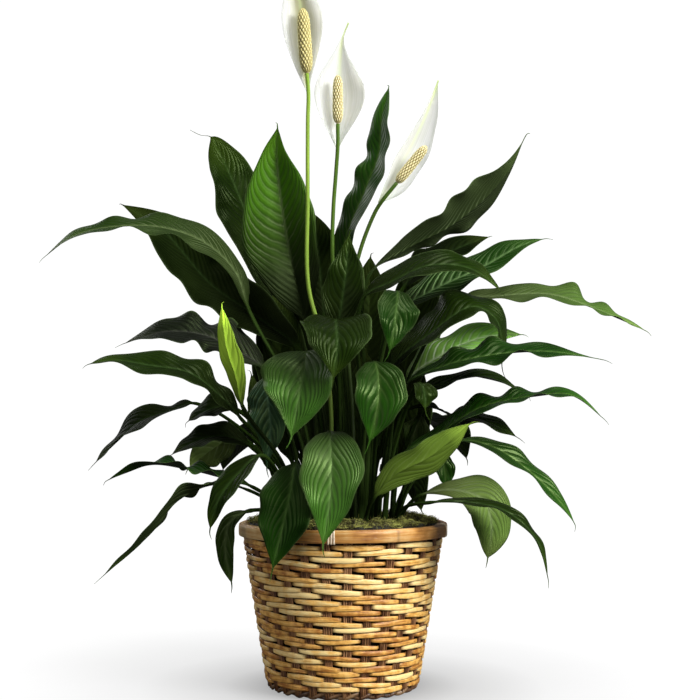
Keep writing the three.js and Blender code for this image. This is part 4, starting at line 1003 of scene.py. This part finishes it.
# %% One leaf
def grow_leaf(leaf, number):
    """A leaf as one closed skin: rows run up the stalk, the blade and the thread, columns go round.

    In the stalk the columns go round a ring; in the blade they go across its upper face and back
    across its lower one. With u from -1 to 1 across, the blade rises from the midrib by its fold and its
    edge waves by sines of the length. Veins are numbered by (v + k w ln(1 - |u|)) / pitch at v along it:
    lines of one number leave the midrib slanting and then run beside the edge.
    """
    path = smooth_path(midrib_knots(leaf, number))
    whole, neck, tip = path[1][-1], path[2][2], path[2][-3]
    parts = np.concatenate([
        np.linspace(0, neck, STALK_ROWS, endpoint=False),
        neck + (tip - neck) * np.linspace(0, 1, BLADE_ROWS, endpoint=False) ** 0.96,
        np.linspace(tip, 1, THREAD_ROWS)])[:, None]
    places, ways = along(path, parts[:, 0])
    up_stalk = np.clip(parts / neck, 0, 1)
    blade = np.clip((parts - neck) / (tip - neck), 0, 1)
    thread = np.clip((parts - tip) / (1 - tip), 0, 1)
    low_roll, high_roll = leaf["roll"]
    turned = np.radians(low_roll + (high_roll - low_roll) * blade[:, 0])
    side, face = axes_across(ways, math.radians(leaf["lean"]), turned)

    # Across: u is t gathered towards the midrib.
    t, lower = two_faces(COLUMNS)
    sign = 1 - 2 * lower
    u = np.sign(t) * np.abs(t) ** 1.5
    right = u > 0

    # The stalk: a sheath at its foot, a collar under the blade, a channel along its upper side.
    radius = PETIOLE_RADIUS + (SHEATH_RADIUS - PETIOLE_RADIUS) * (1 - smoothstep(up_stalk, 0, SHEATH_END))
    collar = np.exp(-(((up_stalk - COLLAR_PLACE) / COLLAR_LENGTH) ** 2))
    radius = radius * (1 + COLLAR_SWELLS * collar)
    channel = CHANNEL_DEPTH * (1 - lower) * np.exp(-((t / CHANNEL_WIDTH) ** 2)) * (1 - blade)
    round_across = radius * np.sin(t * np.pi / 2)
    round_up = PETIOLE_RADIUS * np.cos(t * np.pi / 2) * (sign - channel)

    # The blade: its outline, its veins, then what lifts it out of a plane.
    width = leaf["width"] / 2 * MM
    half = width * outline_share(blade, *leaf.get("outline", USUAL_OUTLINE))
    half = np.maximum(half, PETIOLE_RADIUS * (1 - blade) ** 6)
    half = np.maximum(half, THREAD_START - THREAD_THINS * thread)
    wander = sum(
        far * np.sin(TURN * waves * blade + number * own + shift * right)
        for far, waves, own, shift in EDGE_WANDERS)
    half = half * (1 + EDGE_WANDER * wander * np.sin(np.pi * blade))
    across = half * u
    length = (tip - neck) * whole
    sweep = leaf.get("sweep", VEIN_SWEEP) * width * np.log(1 - 0.93 * np.abs(u))
    vein = (blade * length + sweep) / (leaf.get("pitch", VEIN_PITCH) * MM) + 0.5 * right
    fold = leaf.get("fold", FOLD) * half * (1.3 * np.abs(u) - 0.3 * np.abs(u) ** 3)
    wave = -EDGE_WAVE * half * np.sin(TURN * EDGE_WAVES * blade + number) * u
    own = TURN * blade * length / RIPPLE_LENGTH + 1.9 * np.sin(4.1 * blade + number) + number * 1.7
    swell = 0.55 + 0.45 * np.sin(TURN * 1.37 * blade + number * 0.9 + 1.7 * right)
    ripple = leaf.get("ripple", EDGE_RIPPLE) * half * u**2 * swell
    ripple = ripple * np.sin(own + 2.6 * right) * np.sin(np.pi * blade)
    thick = BLADE_EDGE + (BLADE_MIDDLE - BLADE_EDGE) * (1 - u**2)
    crease = np.exp(-((across / RIB_WIDTH) ** 2)) * smoothstep(blade, 0.0, 0.1) * (1 - 0.8 * blade)
    rib = crease * (-RIB_BELOW * lower - RIB_ABOVE * (1 - lower))
    flat_up = fold + wave + ripple + sign * thick / 2 * (1 - 0.6 * thread) + rib

    # The two, blended where the blade begins.
    flat = smoothstep(blade, 0.0, 0.09)
    grid = carried(
        places, side, face, round_across * (1 - flat) + across * flat, round_up * (1 - flat) + flat_up * flat)
    return tube(
        grid, deep=crown_depth(grid), u=0.5 + u / 2, v=parts * whole * 5, vein=vein * (1 - thread),
        under=lower, stem=1 - flat, middle=np.exp(-((across / RIB_FIELD_WIDTH) ** 2)) * flat,
        edge=np.abs(u), reach=blade)


print(len(LEAVES), "leaves to grow")

# %% [markdown]
# ### Leaf finishes
#
# The upper side has a waxy skin, dark green and glossy: what reads as pale stripes is light on the
# slopes between the side veins, and the recipe paints part of that light in as pale vein lines. The
# lower side is paler, greyer and duller, with raised veins. Young leaves are thin and let light through,
# so they look yellow green. A painted picture would have to be stretched over every leaf. One recipe
# covers them all instead, with the colours as its settings, and its veins come from the field that
# each leaf carries, so they sweep along with the blade. The recipe also paints light and shade into
# the colour: darker in the grooves, at the blade's foot, near its neck and deep in the crown, lighter
# on the swellings and towards the tip, and a pale highlight at the edge.

# %% Leaf finish recipe
# The second colour, for the blade's edge, is a painted highlight.
STEM_GREEN, PAINTED_EDGE_HIGHLIGHT, TIP_YELLOW = (0.018, 0.040, 0.005), (0.10, 0.16, 0.05), (0.012, 0.016, 0.002)
CROWN_SHADE = (0.0070, 0.0115, 0.0032)
# Multipliers for the colour near a blade's neck and near its tip: painted shade and painted light.
NECK_PAINTED_SHADE, TIP_PAINTED_LIGHT = (0.80, 0.68, 0.80), (1.10, 1.32, 1.0)


def leaf_skin(
        tree, dark, light, beneath, vein_line_and_sheen, pale_veins_and_sheen, dull, shaded_foot=0.35, depth=0.0005):
    """Colours for the upper side in the deep and on the swellings, the lower side and the veins.

    Swellings rise between the veins as ½ + ½ cos(2π vein), a vein's pale line is (1 - swelling)^7, and
    three finer waves lie in each. The upper side is painted darker in the grooves and lighter on the
    swellings: painted shade and light. The pale line is the veins' own paler colour, and on the upper
    side also a painted sheen. The blade's edge gets a painted highlight, and painted shade darkens it
    towards its foot, near its neck and deep in the crown; it is painted lighter towards the tip.
    """
    pale_tip = tuple(2.4 * part + more for part, more in zip(light, TIP_YELLOW))
    reach, under, stem = (field(tree, name) for name in ("reach", "under", "stem"))
    phase = TURN * (field(tree, "vein") + (0.5 * grain(tree, 60.0, 3.0) - 0.25))
    swelling = 0.5 * phase.step("COSINE") + 0.5
    fine = 0.5 * (3 * phase).step("COSINE") + 0.5
    blotch = grain(tree, 26.0, 4.0)
    # The upper side: painted shade in the grooves, painted light on the swellings, with blotches of its own.
    upper = ramp(tree, 0.30 * swelling + 0.85 * blotch, (0.30, dark), (0.80, light))
    # Painted shade near the neck and painted light towards the tip, multiplied in.
    painted_light_along = mixed(tree, span(reach, 0.15, 0.85), NECK_PAINTED_SHADE, TIP_PAINTED_LIGHT)
    upper = mixed(tree, 1.0, upper, painted_light_along, "MULTIPLY")
    uneven = span(grain(tree, 18.0, 2.0), 0.40, 0.62, 0.18, 0.80)
    # Pale vein lines: the veins' own paler colour, and on the upper side also a painted sheen.
    line = (1 - swelling) ** 7 * (uneven * span(reach, 0.38, 0.72, 2.0, 0.35) * pale_veins_and_sheen)
    upper = mixed(tree, line, upper, vein_line_and_sheen)
    upper = mixed(tree, 0.45 * field(tree, "middle"), upper, vein_line_and_sheen)
    lower = mixed(tree, blotch, beneath, dimmed(beneath, 0.7))
    lower = mixed(tree, 0.8 * line, lower, vein_line_and_sheen)
    blade = mixed(tree, under, upper, lower)
    blade = mixed(tree, span(reach, 0.78, 0.98, 0.0, 0.75), blade, pale_tip)
    # A pale edge: a painted highlight.
    blade = mixed(tree, 0.8 * field(tree, "edge") ** 30, blade, PAINTED_EDGE_HIGHLIGHT)
    # Painted shade towards the blade's foot and deep in the crown.
    foot = span(reach, 0.05, 0.65, shaded_foot, 0.0)
    shade = foot.step("MAXIMUM", 0.65 * field(tree, "deep"))
    ridges = 0.05 * grain(tree, 900.0, 2.0) + (0.07 * fine + swelling**0.6)
    return {
        "Base Color": mixed(tree, shade, mixed(tree, stem, blade, STEM_GREEN), CROWN_SHADE),
        "Roughness": 0.4 * stem + (0.14 * blotch + (0.16 * under + dull)),
        "Normal": relief(tree, ridges, depth, 0.8)}


LEAF_TINT = (0.70, 1.0, 0.35, 1)
# Some looks are painted light and shade: the shade look and the crown's inside look paint leaves in the
# crown's shadow near black, the greyish and blue-green looks paint a sheen into the colour, and shining is
# the striped look made paler for a leaf in the light.
LEAF_LOOKS = dict(  # the shine, then what leaf_skin is given
    shade=(0.02, (0.0023, 0.0043, 0.0009), (0.0060, 0.0102, 0.0018), (0.006, 0.011, 0.002),
           (0.02, 0.04, 0.01), 0.1, 0.38),
    inner_shade=(0.02, (0.0064, 0.0100, 0.0023), (0.0150, 0.0235, 0.0046), (0.011, 0.018, 0.003),
           (0.03, 0.05, 0.01), 0.1, 0.50),
    dark=(0.08, (0.0036, 0.0080, 0.0009), (0.0090, 0.0190, 0.0017), (0.010, 0.020, 0.004),
          (0.04, 0.08, 0.02), 0.12, 0.19),
    mid=(0.22, (0.0034, 0.019, 0.0011), (0.0105, 0.049, 0.0026), (0.018, 0.042, 0.007),
         (0.10, 0.18, 0.04), 0.18, 0.24),
    cool=(0.16, (0.0021, 0.0132, 0.0009), (0.0070, 0.0335, 0.0020), (0.014, 0.034, 0.006),
          (0.09, 0.17, 0.04), 0.18, 0.22),
    glossy=(0.42, (0.009, 0.037, 0.0028), (0.040, 0.116, 0.012), (0.03, 0.065, 0.012),
            (0.14, 0.25, 0.07), 0.12, 0.36, 0.75, 0.0006),
    teal_sheen=(0.50, (0.0050, 0.0200, 0.0075), (0.0200, 0.0640, 0.0300), (0.018, 0.042, 0.020),
          (0.12, 0.24, 0.15), 0.5, 0.30),
    streaked=(0.12, (0.0075, 0.0185, 0.0025), (0.0185, 0.0375, 0.005), (0.020, 0.035, 0.010),
              (0.15, 0.20, 0.08), 0.45, 0.30),
    striped=(0.09, (0.0032, 0.014, 0.0014), (0.008, 0.030, 0.003), (0.02, 0.05, 0.012),
             (0.18, 0.31, 0.11), 0.7, 0.26),
    shining=(0.30, (0.090, 0.270, 0.030), (0.260, 0.510, 0.095), (0.17, 0.32, 0.08),
             (0.78, 0.92, 0.60), 1.0, 0.28, 0.0),
    bright=(0.10, (0.016, 0.050, 0.0028), (0.050, 0.130, 0.0065), (0.045, 0.09, 0.015),
            (0.26, 0.36, 0.14), 0.46, 0.32, 1.5, 0.0006),
    lime=(0.16, (0.30, 0.58, 0.02), (0.52, 0.82, 0.06), (0.46, 0.74, 0.06),
          (0.18, 0.40, 0.02), 0.5, 0.40, 0.90),
    olive=(0.10, (0.026, 0.050, 0.009), (0.060, 0.102, 0.022), (0.055, 0.098, 0.021),
           (0.18, 0.24, 0.10), 0.35, 0.36),
    soft=(0.16, (0.048, 0.078, 0.016), (0.108, 0.158, 0.036), (0.085, 0.13, 0.03),
          (0.22, 0.28, 0.13), 0.35, 0.36),
    fresh=(0.10, (0.068, 0.125, 0.013), (0.145, 0.225, 0.026), (0.115, 0.190, 0.021),
           (0.28, 0.37, 0.12), 0.25, 0.36, 0.50),
    grey_sheen=(0.16, (0.0025, 0.0033, 0.0021), (0.0075, 0.0092, 0.0066), (0.030, 0.032, 0.028),
          (0.07, 0.07, 0.06), 0.3, 0.34),
    brown=(0.16, (0.0105, 0.0195, 0.0048), (0.0255, 0.0435, 0.0108), (0.028, 0.043, 0.013),
           (0.20, 0.27, 0.12), 0.8, 0.30))
leaf_finishes = {
    name: finish(name + "_leaf", leaf_skin, *colours, Specular_IOR_Level=shine, Specular_Tint=LEAF_TINT)
    for name, (shine, *colours) in LEAF_LOOKS.items()}

# %% Grow them all
NUMBER_SHIFT = 5  # so that a shaded leaf waves unlike the one in front of it
shoots = {}
for number, (name, own) in enumerate(LEAVES.items()):
    look, shape = own.get("finish", "dark"), grow_leaf(own, number)
    if "shoot" in own:
        shoots.setdefault(own["shoot"], {}).setdefault(look, []).append(shape)
        continue
    slot = "young_leaf" if look == "lime" else "leaf"
    put_piece("green_leaf_" + name, shape, leaf_finishes[look], slot, "leaf_" + name)
# The crown's filling leaves, all near black: painted shade.
for number, (name, own) in enumerate(SHADED_LEAVES.items()):
    put_piece("shaded_" + name, grow_leaf(own, number + NUMBER_SHIFT), leaf_finishes["inner_shade"], "leaf")
for shoot, looks in shoots.items():
    nodes = ["shoot_" + shoot]
    for look, shapes in looks.items():
        put_piece(look + "_shoot_" + shoot, join(shapes), leaf_finishes[look], "leaf", *nodes)
        nodes = []
print(len(LEAVES), "leaves,", len(shoots), "shoots")

# %% [markdown]
# ## The blooms
#
# What looks like a white petal is a spathe, a hooded leaf that clasps the flower stalk from behind and
# curls round the spadix. Fine veins run along it and meet in a green tip. The spadix is a club covered
# with a lattice of tiny blunt flowers. A bump in the finish could suggest them, but against the light
# their outline shows, so they are shape: the product of two cosine waves that wind round the club in
# opposite ways leaves a diamond of raised knobs.

# %% Bloom paths
BLOOMS = {
    "left": dict(
        root=(-14, -8), spike_radius=8, spike=[(-40, -11, 671), (-45, -12, 744)], clasp=27,
        route=[(-13, -6, 232), (-13, -5, 293), (-20, -5, 365), (-38, -6, 434), (-39, -8, 532),
               (-39, -10, 620)],
        hood=[(-42, -1, 672), (-44, 3, 704), (-46, 1, 738), (-51, -6, 767), (-56, -14, 784)],
        width=50, roll=0, cup=0.8, outline=(1.5, 0.95)),
    "middle": dict(
        root=(-3, 14), spike_radius=6.4, spike=[(-6, 8, 619), (-6, 7, 674)], clasp=34,
        route=[(-4, 16, 300), (-8, 15, 421), (-12, 14, 472), (-11, 13, 523), (-8, 11, 565)],
        hood=[(-6, 18, 612), (-4, 22, 648), (-4, 20, 683), (-1, 14, 717), (6, 10, 735)],
        width=62, roll=0, cup=0.7, outline=(1.8, 2.2, 1.35)),
    "right": dict(
        root=(14, 0), spike_radius=6.4, spike=[(60, 7, 552), (93, 5, 593)], clasp=30,
        route=[(10, 10, 300), (4, 15, 399), (11, 16, 444), (22, 16, 486), (37, 12, 522)],
        hood=[(54, 20, 552), (64, 24, 574), (79, 25, 602), (93, 20, 631), (100, 15, 649),
              (107, 10, 669)],
        width=43, roll=42, cup=0.7, outline=(0.9, 1.2)),
}

# %% Flower stalks
STALK_RADIUS, STALK_TIP_RADIUS, STALK_STRAIGHT, SEAT_GAP, CLASP_GAP = 0.0024, 0.0021, 24, 0.3, 0.4
BACK = math.pi / 2


def stalk_path(bloom):
    """Straight out of the soil, along the route, and in line with the spadix at its end."""
    low, high = np.array(bloom["spike"], float)
    ahead = unit(high - low)
    straight = low - ahead * STALK_STRAIGHT
    return smooth_path([out_of_soil(bloom["root"]), *bloom["route"], straight, low - ahead * SEAT_GAP])


def stalk_radius(part):
    """Thins evenly from the soil to the spadix."""
    return STALK_RADIUS + (STALK_TIP_RADIUS - STALK_RADIUS) * part


def flower_stalk(bloom, rows=110, sides=18):
    """A round stalk with faint flutes: radius · (1 + 0.03 cos 6a)."""
    parts, a = np.linspace(0, 1, rows), circle(sides)
    places, ways = along(stalk_path(bloom), parts)
    places[0, 2] = ROOT_Z * MM
    side, face = axes_across(ways, BACK, np.zeros(rows))
    radius = stalk_radius(parts)[:, None] * (1 + 0.03 * np.cos(6 * a))
    grid = carried(places, side, face, radius * np.cos(a), radius * np.sin(a))
    return tube(grid, u=a / TURN, v=parts[:, None] * 4, deep=crown_depth(grid))


def stalk_skin(tree, low, high):
    """Green, paler along fine lines, with painted shade deep in the crown."""
    lines = grain(tree, 1.0, 3.0, stretch=(22, 3, 1), source="UV")
    colour = ramp(tree, lines, (0.3, low), (0.7, high))
    return {
        "Base Color": mixed(tree, 0.85 * field(tree, "deep"), colour, CROWN_SHADE),
        "Normal": relief(tree, lines, 0.0003, 0.4)}


# %% Spathes
SPATHE_CURL, SPATHE_DRAW_IN, SPATHE_EDGE, SPATHE_MIDDLE, SPATHE_TIP = 0.8, 0.12, 0.0004, 0.0008, 0.0010
FRILL, FRILL_WAVES, VEIN_HEIGHT, VEIN_WAVES = 0.05, 3.2, 0.00006, 44
KEEL_HEIGHT, KEEL_WIDTH, KEEL_FIELD_WIDTH = 0.0009, 0.0012, 0.0022


def spathe(bloom, number, rows=90, columns=31):
    """A hooded leaf: across = w·u·(1 - k·u²), forward = c·w·u², with w the half width at each row."""
    stem = stalk_path(bloom)
    part = 1 - bloom["clasp"] * MM / stem[1][-1]
    (foot,), way = along(stem, np.array([part]))
    roll = math.radians(bloom["roll"])
    _, face = axes_across(way, BACK, np.array([roll]))
    behind = stalk_radius(part) + CLASP_GAP * MM + SPATHE_MIDDLE / 2
    path = smooth_path([(foot - face[0] * behind) / MM, *bloom["hood"]])
    v = np.linspace(0, 1, rows)[:, None]
    places, ways = along(path, v[:, 0])
    side, face = axes_across(ways, BACK, np.full(rows, roll))
    u, back = two_faces(columns)
    half = np.maximum(bloom["width"] / 2 * MM * outline_share(v, *bloom["outline"]), SPATHE_TIP)
    across = half * u * (1 - SPATHE_DRAW_IN * bloom["cup"] * u**2)
    frill = FRILL * half * u**4 * np.sin(TURN * FRILL_WAVES * v + number * 2 + 1.5 * (u > 0))
    frill = frill * np.sin(np.pi * v)
    lines = VEIN_HEIGHT * np.cos(u * VEIN_WAVES)
    thick = SPATHE_EDGE + (SPATHE_MIDDLE - SPATHE_EDGE) * (1 - u**2)
    keel = KEEL_HEIGHT * np.exp(-((across / KEEL_WIDTH) ** 2)) * back * (1 - 0.5 * v)
    up = SPATHE_CURL * bloom["cup"] * half * u**2 + frill + lines + (1 - 2 * back) * thick / 2 - keel
    return tube(
        carried(places, side, face, across, up), u=0.5 + u / 2, v=v, reach=v,
        middle=np.exp(-((across / KEEL_FIELD_WIDTH) ** 2)), edge=np.abs(u))


def spathe_skin(tree, hollow_shade):
    """White, with faint veins along it, green at the foot, the keel and the tip.

    Painted shade darkens the hollow and the margin, and the whole colour glows a little as well:
    painted light in its shadows.
    """
    veins, edge = grain(tree, 1.0, 4.0, stretch=(34, 1.2, 1), source="UV"), field(tree, "edge")
    reach = field(tree, "reach")
    white = ramp(tree, veins, (0.35, (0.62, 0.64, 0.55)), (0.60, (0.72, 0.73, 0.67)))
    # Painted shade in the hollow round the spadix.
    white = mixed(tree, span(edge, 0.2, 0.8, hollow_shade, 0.0), white, (0.30, 0.29, 0.12))
    # Painted shade along the margin.
    white = mixed(tree, 0.65 * edge**9, white, (0.32, 0.34, 0.27))
    green = span(reach, 0.86, 1.0).step("MAXIMUM", 0.5 * span(reach, 0.16, 0.0))
    keel = field(tree, "middle") * span(reach, 0.3, 0.9, 0.15, 0.9)
    colour = mixed(tree, keel, white, (0.62, 0.72, 0.34))
    colour = mixed(tree, 0.75 * green, colour, (0.30, 0.46, 0.08))
    # The same colour also glows a little: painted light in the shadows.
    return {"Base Color": colour, "Emission Color": colour, "Normal": relief(tree, veins, 0.0004, 0.5)}


# %% Spadices
SPADIX_TAPER, SPADIX_END, KNOB_HEIGHT = 0.9, 0.06, 0.20


def spadix(bloom, rows=150, sides=96, knobs_round=11, pitch=0.0036):
    """A blunt club: radius · sqrt(1 - |2p-1|^5), with knobs |cos π(a+b) · cos π(a-b)| on it.

    a counts knobs round the club and b along it, half a step each.
    """
    low, high = np.array(bloom["spike"], float) * MM
    length, ahead = np.linalg.norm(high - low), unit(high - low)
    side, face = axes_across(ahead[None, :], BACK, np.zeros(1))
    even = np.linspace(0, 1, rows)[:, None]
    p = (0.5 - 0.5 * np.cos(np.pi * even)) * 0.55 + even * 0.45
    turn = circle(sides)
    a, b = knobs_round * turn / TURN, p * length / pitch / 2
    knob = np.abs(np.cos(np.pi * (a + b)) * np.cos(np.pi * (a - b))) ** 0.55
    blunt = np.sqrt(np.clip(1 - np.abs(2 * p - 1) ** 5, SPADIX_END, 1))
    body = bloom["spike_radius"] * MM * blunt * (1 + (SPADIX_TAPER - 1) * p)
    radius = body * (1 - KNOB_HEIGHT + KNOB_HEIGHT * knob)
    places = low + ahead * (p * length)
    return tube(carried(places, side, face, radius * np.cos(turn), radius * np.sin(turn)), tone=knob)


def spadix_skin(tree, between, flank, knob):
    """Cream knobs, deeper yellow and darker between them: the darkness there is painted shade."""
    shade = 0.25 * grain(tree, 300.0, 2.0) + field(tree, "tone")
    return {"Base Color": ramp(tree, shade, (0.34, between), (0.60, flank), (0.95, knob))}


# %% Put the blooms on
STALK_COLOURS = dict(
    left=((0.14, 0.26, 0.02), (0.30, 0.44, 0.06)), middle=((0.030, 0.080, 0.005), (0.095, 0.180, 0.014)),
    right=((0.026, 0.060, 0.005), (0.070, 0.130, 0.014)))
HOLLOW_SHADES = dict(left=0.92, middle=0.12, right=0.22)
# The first colour of each lies between the knobs: deeper yellow, darkened by painted shade.
YELLOW_KNOBS = ((0.20, 0.16, 0.04), (0.40, 0.34, 0.10), (0.66, 0.58, 0.25))
CREAM_KNOBS = ((0.07, 0.04, 0.01), (0.44, 0.35, 0.09), (0.84, 0.76, 0.44))

yellow_spadix = finish("yellow_spadix", spadix_skin, *YELLOW_KNOBS, Roughness=0.6)
cream_spadix = finish("cream_spadix", spadix_skin, *CREAM_KNOBS, Roughness=0.6)
for number, (name, bloom) in enumerate(BLOOMS.items()):
    green_stalk = finish(
        "green_stalk_" + name, stalk_skin, *STALK_COLOURS[name], Roughness=0.5, Specular_IOR_Level=0.15)
    # The spathe's colour glows at 0.27: painted light that lifts its shadows.
    white_spathe = finish(
        "white_spathe_" + name, spathe_skin, HOLLOW_SHADES[name], Roughness=0.5, Subsurface_Weight=0.7,
        Subsurface_Radius=(0.010, 0.010, 0.008), Subsurface_Scale=1.0, Emission_Strength=0.27)
    knobs = yellow_spadix if name == "left" else cream_spadix
    put_piece("green_stalk_" + name, flower_stalk(bloom), green_stalk, "flower_stalk", "stalk_" + name)
    put_piece("white_spathe_" + name, spathe(bloom, number), white_spathe, "spathe", "spathe_" + name)
    put_piece("cream_spadix_" + name, spadix(bloom), knobs, "spadix", "spadix_" + name)
print(len(BLOOMS), "blooms")

# %% Sizes, and the end
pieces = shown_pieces()
print(sum(len(p.data.polygons) for p in pieces), "faces in", len(pieces), "pieces")
